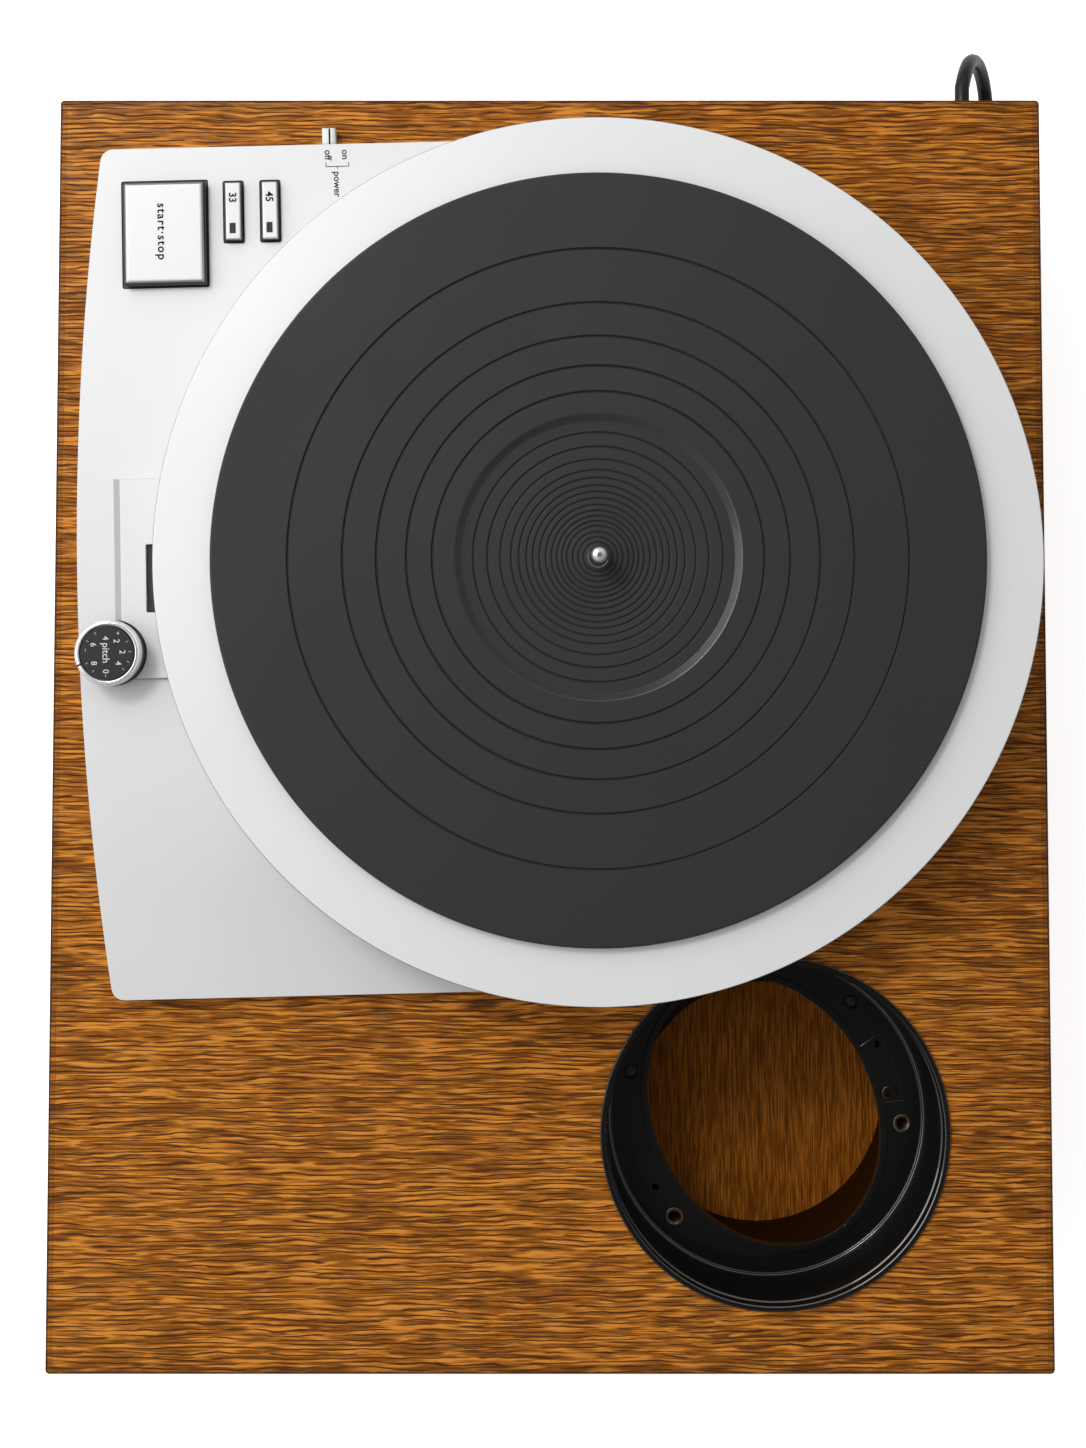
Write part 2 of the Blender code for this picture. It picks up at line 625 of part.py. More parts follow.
# A closed flat outline raised between two levels. Outlines inside the first one are holes.
def prism(name, outlines, bottom, top, parent=None, at=(0, 0)):
    curve = bpy.data.curves.new(name, "CURVE")
    curve.dimensions = "2D"
    curve.fill_mode = "BOTH"
    curve.extrude = (top - bottom) / 2
    for outline in outlines:
        spline = curve.splines.new("POLY")
        spline.points.add(len(outline) - 1)
        for point, (x, y) in zip(spline.points, outline):
            point.co = (x, y, 0, 1)
        spline.use_cyclic_u = True
    guide = new_piece(name + "_outline", curve)
    graph = bpy.context.evaluated_depsgraph_get()
    mesh = bpy.data.meshes.new_from_object(guide.evaluated_get(graph))
    bpy.data.objects.remove(guide, do_unlink=True)
    bpy.data.curves.remove(curve)
    mesh.name = name
    shape = bmesh.new()
    shape.from_mesh(mesh)
    bmesh.ops.remove_doubles(shape, verts=shape.verts, dist=WELD_DISTANCE)
    bmesh.ops.translate(shape, verts=shape.verts, vec=(0, 0, (top + bottom) / 2))
    bmesh.ops.recalc_face_normals(shape, faces=shape.faces)
    shape.to_mesh(mesh)
    shape.free()
    return place(new_piece(name, mesh), parent, (*at, 0))


def box(name, low, high, parent=None, at=(0, 0)):
    outline = [(low[0], low[1]), (high[0], low[1]), (high[0], high[1]), (low[0], high[1])]
    return prism(name, [outline], low[2], high[2], parent, at)


def cylinder(name, radius, bottom, top, parent=None, at=(0, 0), steps=SMALL_STEPS):
    mesh = bpy.data.meshes.new(name)
    shape = bmesh.new()
    bmesh.ops.create_cone(
        shape, cap_ends=True, segments=steps, radius1=radius, radius2=radius, depth=top - bottom
    )
    bmesh.ops.translate(shape, verts=shape.verts, vec=(0, 0, (top + bottom) / 2))
    shape.to_mesh(mesh)
    shape.free()
    smooth(mesh)
    return place(new_piece(name, mesh), parent, (*at, 0))


# A turned shape. Its profile is (radius, height) and runs down the outer side.
def turned(name, profile, parent=None, at=(0, 0, 0), steps=MID_STEPS):
    mesh = bpy.data.meshes.new(name)
    edges = [(i, i + 1) for i in range(len(profile) - 1)]
    if profile[0][0] > 0:
        edges.append((len(profile) - 1, 0))
    mesh.from_pydata([(radius, 0, height) for radius, height in profile], edges, [])
    thing = new_piece(name, mesh)
    turn = thing.modifiers.new("turn", "SCREW")
    turn.axis = "Z"
    turn.steps = steps
    turn.render_steps = steps
    turn.use_merge_vertices = True
    turn.merge_threshold = MERGE_DISTANCE
    turn.use_smooth_shade = False
    return place(thing, parent, at)


def tube(name, points, radius, resolution):
    curve = bpy.data.curves.new(name, "CURVE")
    curve.dimensions = "3D"
    curve.bevel_depth = radius
    curve.bevel_resolution = resolution
    curve.use_fill_caps = True
    spline = curve.splines.new("POLY")
    spline.points.add(len(points) - 1)
    for point, place_on_route in zip(spline.points, points):
        point.co = (*place_on_route, 1)
    return new_piece(name, curve)


def soften(thing, width, segments=1):
    bevel = thing.modifiers.new("soften", "BEVEL")
    bevel.width = width
    bevel.segments = segments
    bevel.limit_method = "ANGLE"
    bevel.angle_limit = math.radians(SMOOTH_ANGLE)


# Rounds only the edges that lie on the highest level.
def soften_top(thing, width, segments=2):
    mesh = thing.data
    top = max(vertex.co.z for vertex in mesh.vertices)
    weights = mesh.attributes.new("bevel_weight_edge", "FLOAT", "EDGE")
    for edge in mesh.edges:
        ends = [mesh.vertices[i].co.z for i in edge.vertices]
        weights.data[edge.index].value = 1.0 if min(ends) > top - GAP / 2 else 0.0
    bevel = thing.modifiers.new("soften_top", "BEVEL")
    bevel.width = width
    bevel.segments = segments
    bevel.limit_method = "WEIGHT"


# Replaces each corner (x, y, radius) of an outline by an arc of that radius.
def rounded(corners, steps=CORNER_STEPS):
    outline = []
    for i, (x, y, radius) in enumerate(corners):
        here = Vector((x, y))
        if not radius:
            outline.append((x, y))
            continue
        before = (Vector(corners[i - 1][:2]) - here).normalized()
        after = (Vector(corners[(i + 1) % len(corners)][:2]) - here).normalized()
        half = before.angle(after) / 2
        centre = here + (before + after).normalized() * (radius / math.sin(half))
        first = here + before * (radius / math.tan(half)) - centre
        last = here + after * (radius / math.tan(half)) - centre
        start = math.atan2(first.y, first.x)
        sweep = math.atan2(last.y, last.x) - start
        sweep = (sweep + math.pi) % (2 * math.pi) - math.pi
        for step in range(steps + 1):
            angle = start + sweep * step / steps
            outline.append((centre.x + radius * math.cos(angle), centre.y + radius * math.sin(angle)))
    return outline


def rectangle(length, width, radius=0, x=0, y=0):
    half_length, half_width = length / 2, width / 2
    return rounded([
        (x - half_length, y - half_width, radius),
        (x + half_length, y - half_width, radius),
        (x + half_length, y + half_width, radius),
        (x - half_length, y + half_width, radius),
    ])


# Points of an arc about the origin, both ends included.
def arc(radius_x, radius_y, start, end, steps):
    points = []
    for step in range(steps + 1):
        angle = math.radians(start + (end - start) * step / steps)
        points.append((radius_x * math.cos(angle), radius_y * math.sin(angle)))
    return points


def on_circle(radius, angle):
    return radius * math.cos(math.radians(angle)), radius * math.sin(math.radians(angle))


# Equal boxes spread evenly about the unit's axis
def turned_boxes(name, count, low, high):
    mesh = bpy.data.meshes.new(name)
    shape = bmesh.new()
    size = [b - a for a, b in zip(low, high)]
    middle = [(a + b) / 2 for a, b in zip(low, high)]
    for number in range(count):
        made = bmesh.ops.create_cube(shape, size=1)
        bmesh.ops.scale(shape, verts=made["verts"], vec=size)
        bmesh.ops.translate(shape, verts=made["verts"], vec=middle)
        turn = 2 * math.pi * number / count
        for vertex in made["verts"]:
            x, y = vertex.co.x, vertex.co.y
            vertex.co.x = x * math.cos(turn) - y * math.sin(turn)
            vertex.co.y = x * math.sin(turn) + y * math.cos(turn)
    shape.to_mesh(mesh)
    shape.free()
    return place(new_piece(name, mesh), unit_frame)


# The bowed front edge, from left to right, drawn in by an inset from the deck's own edge.
def bowed_front(inset, corner):
    half = DECK_HALF_LENGTH - inset
    corners = []
    for step in range(BOW_STEPS + 1):
        across = 2 * step / BOW_STEPS - 1
        depth = DECK_FRONT - inset - DECK_BOW * across ** 2
        at_end = step in (0, BOW_STEPS)
        corners.append((DECK_SHIFT + half * across, -depth, corner if at_end else 0))
    return corners


def deck_outline(inset):
    front = bowed_front(inset, DECK_CORNER - inset if DECK_CORNER > inset else 0)
    rear = arc(DECK_HALF_LENGTH - inset, DECK_REAR - inset, 0, 180, ROUND_STEPS // 2)
    return rounded(front + [(DECK_SHIFT + x, y, 0) for x, y in rear])


def cutout_outline(inset):
    half = DECK_HALF_LENGTH - CUTOUT_INSET - inset
    radius = CUTOUT_REAR_RADIUS - inset
    shoulder = CUTOUT_SHOULDER + inset
    start = -math.degrees(math.asin(shoulder / radius))
    front = bowed_front(CUTOUT_INSET + inset, CUTOUT_CORNER - inset)
    rear = [(x, y, 0) for x, y in arc(radius, radius, start, 180 - start, ROUND_STEPS // 2)]
    right = (DECK_SHIFT + half, -shoulder, CUTOUT_SHOULDER_ROUND)
    left = (DECK_SHIFT - half, -shoulder, CUTOUT_SHOULDER_ROUND)
    return rounded(front + [right] + rear + [left])


def make_plinth():
    half_length, half_width = PLINTH_LENGTH / 2, PLINTH_WIDTH / 2
    top = prism(
        "plinth_top",
        [rectangle(PLINTH_LENGTH, PLINTH_WIDTH, CORNER_ROUND)],
        BOARD_UNDERSIDE,
        PLINTH_TOP,
    )
    soften_top(top, EDGE_ROUND)
    cut(top, unit_cutter)
    cut(top, arm_cutter)
    paint(top, "oak")

    # The four side boards meet in mitres
    side_top = BOARD_UNDERSIDE - GAP
    runs = (
        ("plinth_front", half_length, half_width, 0),
        ("plinth_right", half_width, half_length, 90),
        ("plinth_back", half_length, half_width, 180),
        ("plinth_left", half_width, half_length, 270),
    )
    for name, half_run, reach, turn in runs:
        end = half_run - MITRE_GAP
        outline = [
            (-end + CORNER_ROUND, -reach),
            (end - CORNER_ROUND, -reach),
            (end - CORNER_ROUND / 2, -reach + CORNER_ROUND / 2),
            (end - SIDE_BOARD, -reach + SIDE_BOARD),
            (-end + SIDE_BOARD, -reach + SIDE_BOARD),
            (-end + CORNER_ROUND / 2, -reach + CORNER_ROUND / 2),
        ]
        board = prism(name, [outline], FOOT_HEIGHT, side_top)
        board.rotation_euler = (0, 0, math.radians(turn))
        paint(board, "oak")
        if name == "plinth_left":
            cut(board, gland_cutter)

    inner_length = PLINTH_LENGTH - 2 * SIDE_BOARD - 2 * GAP
    inner_width = PLINTH_WIDTH - 2 * SIDE_BOARD - 2 * GAP
    floor = prism(
        "plinth_floor", [rectangle(inner_length, inner_width)], FOOT_HEIGHT, INNER_FLOOR
    )
    paint(floor, "oak_inside")


def make_arm_block():
    right = PLINTH_LENGTH / 2 - SIDE_BOARD - GAP
    left = ARM_AXIS_X - COLLAR_BORE - BLOCK_LEFT_WALL
    low = (left, ARM_AXIS_Y - BLOCK_HALF_WIDTH, INNER_FLOOR + GAP)
    high = (right, ARM_AXIS_Y + BLOCK_HALF_WIDTH, BOARD_UNDERSIDE - GAP)
    block = box("arm_block", low, high)
    cut(block, unit_cutter)
    cut(block, arm_cutter)
    well_cutter = cylinder(
        "well_cutter", BLOCK_BORE, -PLINTH_BODY, OVERRUN, arm_frame, steps=ROUND_STEPS
    )
    cut(block, well_cutter)
    paint(block, "oak_inside")


def make_feet():
    profile = [
        (0, FOOT_HEIGHT - GAP),
        (FOOT_RADIUS, FOOT_HEIGHT - GAP),
        (FOOT_RADIUS, FOOT_HEIGHT / 2),
        (FOOT_RADIUS - FOOT_GROOVE, FOOT_HEIGHT / 2 - FOOT_GROOVE),
        (FOOT_RADIUS - FOOT_GROOVE, FOOT_HEIGHT / 3 + FOOT_GROOVE),
        (FOOT_RADIUS, FOOT_HEIGHT / 3),
        (FOOT_RADIUS - FOOT_TAPER, 0),
        (0, 0),
    ]
    for across, side in ((-1, "left"), (1, "right")):
        for along, end in ((-1, "front"), (1, "back")):
            x = across * (PLINTH_LENGTH / 2 - FOOT_INSET)
            y = along * (PLINTH_WIDTH / 2 - FOOT_INSET)
            foot = turned(f"foot_{end}_{side}", profile, at=(x, y, 0), steps=TURNED_STEPS)
            paint(foot, "foot_rubber")


# The mouth of the collar's flange is an oval that lies a little off the collar's axis.
def mouth_outline(inset):
    shift_x, shift_y = on_circle(COLLAR_MOUTH_SHIFT, COLLAR_MOUTH_ANGLE + 180)
    cosine, sine = on_circle(1, COLLAR_MOUTH_ANGLE)
    outline = []
    for x, y in arc(COLLAR_MOUTH_LONG - inset, COLLAR_MOUTH_SHORT - inset, 0, 360, ROUND_STEPS)[:-1]:
        outline.append((shift_x + x * cosine - y * sine, shift_y + x * sine + y * cosine))
    return outline


def sector_outline(inner, outer, start, end):
    outside = arc(outer, outer, start, end, CORNER_STEPS)
    inside = arc(inner, inner, end, start, CORNER_STEPS)
    return outside + inside


def make_arm_collar():
    rim_inner = COLLAR_RIM_RADIUS - COLLAR_RIM_WIDTH
    step_radius = rim_inner - COLLAR_STEP
    top = GAP + COLLAR_RIM_HEIGHT
    root = COLLAR_MOUTH_SHORT - COLLAR_MOUTH_SHIFT - OVERRUN
    profile = [
        (COLLAR_RIM_RADIUS - COLLAR_RIM_ROUND, top),
        (COLLAR_RIM_RADIUS, top - COLLAR_RIM_ROUND),
        (COLLAR_RIM_RADIUS, GAP),
        (COLLAR_BODY_RADIUS, GAP),
        (COLLAR_BODY_RADIUS, COLLAR_BOTTOM),
        (root, COLLAR_BOTTOM),
        (root, -COLLAR_DEPTH),
        (COLLAR_FLOOR_RADIUS, -COLLAR_DEPTH),
        (step_radius, -COLLAR_STEP_DEPTH - COLLAR_STEP),
        (rim_inner, -COLLAR_STEP_DEPTH),
        (rim_inner, top - COLLAR_RIM_ROUND),
        (rim_inner + COLLAR_RIM_ROUND, top),
    ]
    collar = turned("arm_collar", profile, arm_frame, steps=ROUND_STEPS)

    # A low lip runs round the mouth, and two raised pads carry the holes of the arm's base
    lip_bottom = -COLLAR_DEPTH - COLLAR_FLANGE_SHEET / 2
    join(collar, prism(
        "collar_lip", [mouth_outline(-COLLAR_MOUTH_LIP)], lip_bottom,
        -COLLAR_DEPTH + COLLAR_LIP_HEIGHT, arm_frame,
    ))
    for number, (start, end) in enumerate(COLLAR_PAD_SPANS):
        outline = sector_outline(COLLAR_MOUTH_SHORT - OVERRUN, COLLAR_PAD_EDGE, start, end)
        pad_top = -COLLAR_DEPTH + COLLAR_PAD_HEIGHT
        join(collar, prism(f"collar_pad_{number}", [outline], lip_bottom, pad_top, arm_frame))
    boss_at = on_circle(BOSS_CIRCLE, BOSS_ANGLE)
    boss_top = -COLLAR_DEPTH + COLLAR_PAD_HEIGHT + BOSS_HEIGHT
    join(collar, cylinder("collar_boss", BOSS_RADIUS, lip_bottom, boss_top, arm_frame, boss_at))

    below, above = COLLAR_BOTTOM - OVERRUN, -COLLAR_DEPTH + OVERRUN
    cut(collar, prism("mouth_cutter", [mouth_outline(0)], below, above, arm_frame))
    holes = [(BOSS_CIRCLE, BOSS_ANGLE, BOSS_HOLE)]
    holes += [(PILOT_CIRCLE, angle, PILOT_RADIUS) for angle in PILOT_ANGLES]
    holes += [(SCREW_CIRCLE, angle, SCREW_RADIUS) for angle in SCREW_ANGLES]
    holes += [(INSERT_CIRCLE, angle, INSERT_RADIUS + GAP) for angle in INSERT_ANGLES.values()]
    for number, (circle, angle, radius) in enumerate(holes):
        place_on_flange = on_circle(circle, angle)
        cut(collar, cylinder(
            f"collar_hole_{number}", radius, below, above, arm_frame, place_on_flange, HOLE_STEPS
        ))
    for number, angle in enumerate(SCREW_ANGLES):
        place_on_flange = on_circle(SCREW_CIRCLE, angle)
        cut(collar, cylinder(
            f"screw_head_cutter_{number}", SCREW_HEAD_RADIUS, -COLLAR_DEPTH - SCREW_HEAD_DEPTH,
            above, arm_frame, place_on_flange, HOLE_STEPS,
        ))
    paint(collar, "collar_black")

    insert_top = -COLLAR_DEPTH + INSERT_PROUD
    insert_profile = [
        (INSERT_RADIUS - INSERT_STEP, insert_top),
        (INSERT_RADIUS, insert_top - INSERT_STEP),
        (INSERT_RADIUS, COLLAR_BOTTOM),
        (INSERT_BORE, COLLAR_BOTTOM),
        (INSERT_BORE, insert_top - INSERT_STEP),
        (INSERT_BORE + INSERT_STEP, insert_top),
    ]
    for end, angle in INSERT_ANGLES.items():
        x, y = on_circle(INSERT_CIRCLE, angle)
        insert = turned(
            f"collar_insert_{end}", insert_profile, arm_frame, (x, y, 0), steps=HOLE_STEPS
        )
        paint(insert, "brass")


# Each well of the deck: its name, centre, cap size and the gap round the cap
def button_wells():
    return (
        ("start", (START_X, START_Y), START_LENGTH, START_WIDTH, START_WELL_GAP),
        ("speed_33", (SPEED_X, SPEED_33_Y), SPEED_LENGTH, SPEED_WIDTH, SPEED_WELL_GAP),
        ("speed_45", (SPEED_X, SPEED_45_Y), SPEED_LENGTH, SPEED_WIDTH, SPEED_WELL_GAP),
    )


def make_deck_plate():
    deck = prism("deck_plate", [deck_outline(0)], GAP, DECK_HEIGHT, unit_frame)
    soften_top(deck, DECK_EDGE_ROUND)

    # The raised pad slopes down to the deck at its front
    corners = [
        (PAD_LEFT, -PAD_FRONT), (PAD_RIGHT, -PAD_FRONT), (PAD_RIGHT, -PAD_REAR), (PAD_LEFT, -PAD_REAR)
    ]
    pad = prism("deck_pad", [corners], DECK_UNDERSIDE + GAP, PAD_TOP, unit_frame)
    for vertex in pad.data.vertices:
        if vertex.co.z > DECK_HEIGHT and vertex.co.y < -PAD_REAR - PAD_SLOPE:
            vertex.co.y += PAD_SLOPE
    join(deck, pad)

    pocket = prism(
        "deck_pocket", [deck_outline(DECK_SKIRT)], -OVERRUN, DECK_UNDERSIDE, unit_frame
    )
    cut(deck, pocket)
    for name, at, length, width, gap in button_wells():
        opening = rectangle(length + 2 * gap, width + 2 * gap, gap / 2)
        cut(deck, prism(f"{name}_opening", [opening], 0, DECK_HEIGHT + OVERRUN, unit_frame, at))
    slot = rectangle(STROBE_LENGTH, STROBE_WIDTH)
    cut(deck, prism("strobe_slot", [slot], 0, PAD_TOP + OVERRUN, unit_frame, (STROBE_X, STROBE_Y)))
    pitch_at = (PITCH_X, PITCH_Y)
    cut(deck, cylinder(
        "pitch_hole", PITCH_HOLE_RADIUS, 0, PAD_TOP + OVERRUN, unit_frame, pitch_at, SMALL_STEPS
    ))
    seat_radius = PITCH_RING_RADIUS + GAP
    cut(deck, cylinder(
        "pitch_seat", seat_radius, DECK_HEIGHT, PAD_TOP + OVERRUN, unit_frame, pitch_at, MID_STEPS
    ))
    opening_radius = FRAME_OUTER + FRAME_DECK_CLEARANCE
    cut(deck, cylinder(
        "motor_opening", opening_radius, 0, DECK_HEIGHT + OVERRUN, unit_frame, steps=MID_STEPS
    ))
    slot_low = LEVER_Y - LEVER_WIDTH / 2 - LEVER_SIDE_CLEARANCE
    slot_high = LEVER_Y + LEVER_TRAVEL + LEVER_WIDTH / 2 + LEVER_SIDE_CLEARANCE
    edge = DECK_SHIFT - DECK_HALF_LENGTH
    cut(deck, box(
        "lever_slot", (edge - OVERRUN, slot_low, -OVERRUN),
        (edge + DECK_SKIRT + OVERRUN, slot_high, DECK_UNDERSIDE + GAP), unit_frame,
    ))
    paint(deck, "deck_silver")


def make_chassis_tray():
    lip_top = DECK_UNDERSIDE - GAP
    tray = prism(
        "chassis_tray", [cutout_outline(TRAY_CLEARANCE)], -TRAY_DEPTH - TRAY_WALL,
        (GAP + lip_top) / 2, unit_frame,
    )
    join(tray, prism("tray_lip", [cutout_outline(-TRAY_LIP)], GAP, lip_top, unit_frame))
    cut(tray, prism(
        "tray_hollow", [cutout_outline(TRAY_CLEARANCE + TRAY_WALL)], -TRAY_DEPTH,
        DECK_UNDERSIDE + OVERRUN, unit_frame,
    ))
    # Notches at the rim let the button frame and the power lever pass
    cut(tray, box(
        "frame_notch",
        (FRAME_PLATE_LEFT - GAP, FRAME_PLATE_FRONT - GAP, FRAME_PLATE_BOTTOM - GAP),
        (FRAME_PLATE_RIGHT + GAP, FRAME_PLATE_REAR + GAP, DECK_UNDERSIDE + OVERRUN), unit_frame,
    ))
    edge = DECK_SHIFT - DECK_HALF_LENGTH
    cut(tray, box(
        "lever_notch",
        (edge, LEVER_Y - LEVER_WIDTH / 2 - LEVER_SIDE_CLEARANCE, 0),
        (POWER_SWITCH_X, LEVER_Y + LEVER_TRAVEL + LEVER_WIDTH / 2 + LEVER_SIDE_CLEARANCE,
         DECK_UNDERSIDE + OVERRUN),
        unit_frame,
    ))
    # Posts carry the main board and the switch board
    for x in (MAIN_BOARD_LEFT + MAIN_BOARD_POST_INSET, MAIN_BOARD_RIGHT - MAIN_BOARD_POST_INSET):
        for y in (MAIN_BOARD_FRONT + MAIN_BOARD_POST_INSET, MAIN_BOARD_REAR - MAIN_BOARD_POST_INSET):
            join(tray, cylinder(
                f"board_post_{x:.3f}_{y:.3f}", BOARD_POST_RADIUS, -TRAY_DEPTH - TRAY_WALL / 2,
                MAIN_BOARD_LEVEL - MAIN_BOARD_SHEET - GAP, unit_frame, (x, y), HOLE_STEPS,
            ))
    for number in range(TRAY_VENT_COUNT):
        y = TRAY_VENT_Y + TRAY_VENT_PITCH * number
        vent = rectangle(TRAY_VENT_LENGTH, TRAY_VENT_WIDTH)
        cut(tray, prism(
            f"tray_vent_{number}", [vent], -TRAY_DEPTH - TRAY_WALL - OVERRUN,
            -TRAY_DEPTH + OVERRUN, unit_frame, (TRAY_VENT_X, y),
        ))
    paint(tray, "tray_steel")


def make_button_frame():
    low = (FRAME_PLATE_LEFT, FRAME_PLATE_FRONT, FRAME_PLATE_BOTTOM)
    high = (FRAME_PLATE_RIGHT, FRAME_PLATE_REAR, FRAME_PLATE_TOP)
    frame = box("button_frame", low, high, unit_frame)
    for name, at, length, width, gap in button_wells():
        outer = 2 * (gap - GAP)
        collar = rectangle(length + outer, width + outer)
        join(frame, prism(
            f"{name}_collar", [collar], FRAME_PLATE_BOTTOM + GAP,
            DECK_HEIGHT - FRAME_COLLAR_DROP, unit_frame, at,
        ))
    for name, at, length, width, gap in button_wells():
        inner = 2 * SLIDE_CLEARANCE
        hole = rectangle(length + inner, width + inner)
        cut(frame, prism(
            f"{name}_guide", [hole], FRAME_PLATE_BOTTOM - OVERRUN, DECK_HEIGHT + OVERRUN,
            unit_frame, at,
        ))
    paint(frame, "black_plastic")


# The lips at both ends of a cap keep it in the frame, and the stem reaches into its switch.
def add_lips(cap, name, at, length, width):
    lips = rectangle(length + 2 * BUTTON_LIP, width)
    join(cap, prism(f"{name}_lips", [lips], BUTTON_BOTTOM, BUTTON_LIP_TOP, unit_frame, at))


def add_stem(cap, name, at, top):
    join(cap, cylinder(f"{name}_stem", STEM_RADIUS, STEM_END, top, unit_frame, at, HOLE_STEPS))


def make_buttons():
    start_at = (START_X, START_Y)
    start_top = DECK_HEIGHT + START_RISE
    start = prism(
        "start_button", [rectangle(START_LENGTH, START_WIDTH)], BUTTON_BOTTOM, start_top,
        unit_frame, start_at,
    )
    soften_top(start, START_CHAMFER, 1)
    add_lips(start, "start", start_at, START_LENGTH, START_WIDTH)
    pocket = rectangle(START_LENGTH - 2 * START_CAP_WALL, START_WIDTH - 2 * START_CAP_WALL)
    pocket_top = start_top - START_CAP_SHEET
    cut(start, prism(
        "start_pocket", [pocket], BUTTON_BOTTOM - OVERRUN, pocket_top, unit_frame, start_at
    ))
    add_stem(start, "start", start_at, pocket_top + GAP)
    paint(start, "button_silver")

    for name, y in (("speed_33", SPEED_33_Y), ("speed_45", SPEED_45_Y)):
        at = (SPEED_X, y)
        top = DECK_HEIGHT + SPEED_RISE
        cap = prism(
            f"{name}_button", [rectangle(SPEED_LENGTH, SPEED_WIDTH)], BUTTON_BOTTOM, top,
            unit_frame, at,
        )
        soften_top(cap, SPEED_CHAMFER, 1)
        add_lips(cap, name, at, SPEED_LENGTH, SPEED_WIDTH)
        add_stem(cap, name, at, BUTTON_LIP_TOP)
        lens_at = (SPEED_X + SPEED_LENS_X, y)
        pocket = rectangle(SPEED_LENS_LENGTH + 2 * GAP, SPEED_LENS_WIDTH + 2 * GAP)
        cut(cap, prism(
            f"{name}_lens_pocket", [pocket], top - SPEED_LENS_SHEET - GAP, top + OVERRUN,
            unit_frame, lens_at,
        ))
        paint(cap, "button_silver")
        lens = prism(
            f"{name}_lens", [rectangle(SPEED_LENS_LENGTH, SPEED_LENS_WIDTH)],
            top - SPEED_LENS_SHEET, top, unit_frame, lens_at,
        )
        paint(lens, "smoke_lens")


def make_switches():
    sizes = (
        ("start_switch", (START_X, START_Y), START_SWITCH_SIDE, START_SWITCH_SIDE),
        ("speed_33_switch", (SPEED_X, SPEED_33_Y), SPEED_SWITCH_LENGTH, SPEED_SWITCH_WIDTH),
        ("speed_45_switch", (SPEED_X, SPEED_45_Y), SPEED_SWITCH_LENGTH, SPEED_SWITCH_WIDTH),
    )
    bore_bottom = STEM_END - PRESS_TRAVEL - STEM_END_CLEARANCE
    for name, at, length, width in sizes:
        body = prism(
            name, [rectangle(length, width)], SWITCH_BOTTOM, SWITCH_TOP, unit_frame, at
        )
        cut(body, cylinder(
            f"{name}_bore", STEM_RADIUS + STEM_CLEARANCE, bore_bottom, SWITCH_TOP + OVERRUN,
            unit_frame, at, HOLE_STEPS,
        ))
        paint(body, "black_plastic")
    board = box(
        "switch_board",
        (SWITCH_BOARD_LEFT, SWITCH_BOARD_FRONT, SWITCH_BOARD_TOP - SWITCH_BOARD_SHEET),
        (SWITCH_BOARD_RIGHT, SWITCH_BOARD_REAR, SWITCH_BOARD_TOP),
        unit_frame,
    )
    paint(board, "board_green")


def make_power_switch():
    edge = DECK_SHIFT - DECK_HALF_LENGTH
    half = LEVER_WIDTH / 2
    tongue_left = POWER_SWITCH_X - LEVER_TONGUE / 2
    tongue_right = POWER_SWITCH_X + LEVER_TONGUE / 2
    lever_at = (0, LEVER_Y)
    lever = box(
        "power_lever", (edge - LEVER_REACH, -half, LEVER_BAR_BOTTOM),
        (edge - GAP, half, LEVER_KNOB_TOP), unit_frame, lever_at,
    )
    soften_top(lever, LEVER_ROUND)
    join(lever, box(
        "lever_bar", (edge - LEVER_REACH / 2, -half, LEVER_BAR_BOTTOM),
        (tongue_right, half, LEVER_BAR_TOP), unit_frame, lever_at,
    ))
    join(lever, box(
        "lever_tongue", (tongue_left, -half, LEVER_BAR_TOP - LEVER_TONGUE_DEPTH),
        (tongue_right, half, LEVER_BAR_TOP), unit_frame, lever_at,
    ))
    paint(lever, "button_silver")

    slot_low = LEVER_Y - half - POWER_SLOT_CLEARANCE
    slot_high = LEVER_Y + LEVER_TRAVEL + half + POWER_SLOT_CLEARANCE
    switch_top = LEVER_BAR_BOTTOM - GAP
    switch_bottom = switch_top - POWER_SWITCH_HEIGHT
    left = POWER_SWITCH_X - POWER_SWITCH_LENGTH / 2
    right = POWER_SWITCH_X + POWER_SWITCH_LENGTH / 2
    switch = box(
        "power_switch", (left, slot_low - POWER_SWITCH_END, switch_bottom),
        (right, slot_high + POWER_SWITCH_END, switch_top), unit_frame,
    )
    cut(switch, box(
        "power_slot",
        (tongue_left - POWER_SLOT_CLEARANCE, slot_low,
         LEVER_BAR_TOP - LEVER_TONGUE_DEPTH - POWER_SLOT_CLEARANCE),
        (tongue_right + POWER_SLOT_CLEARANCE, slot_high, switch_top + OVERRUN), unit_frame,
    ))
    paint(switch, "black_plastic")


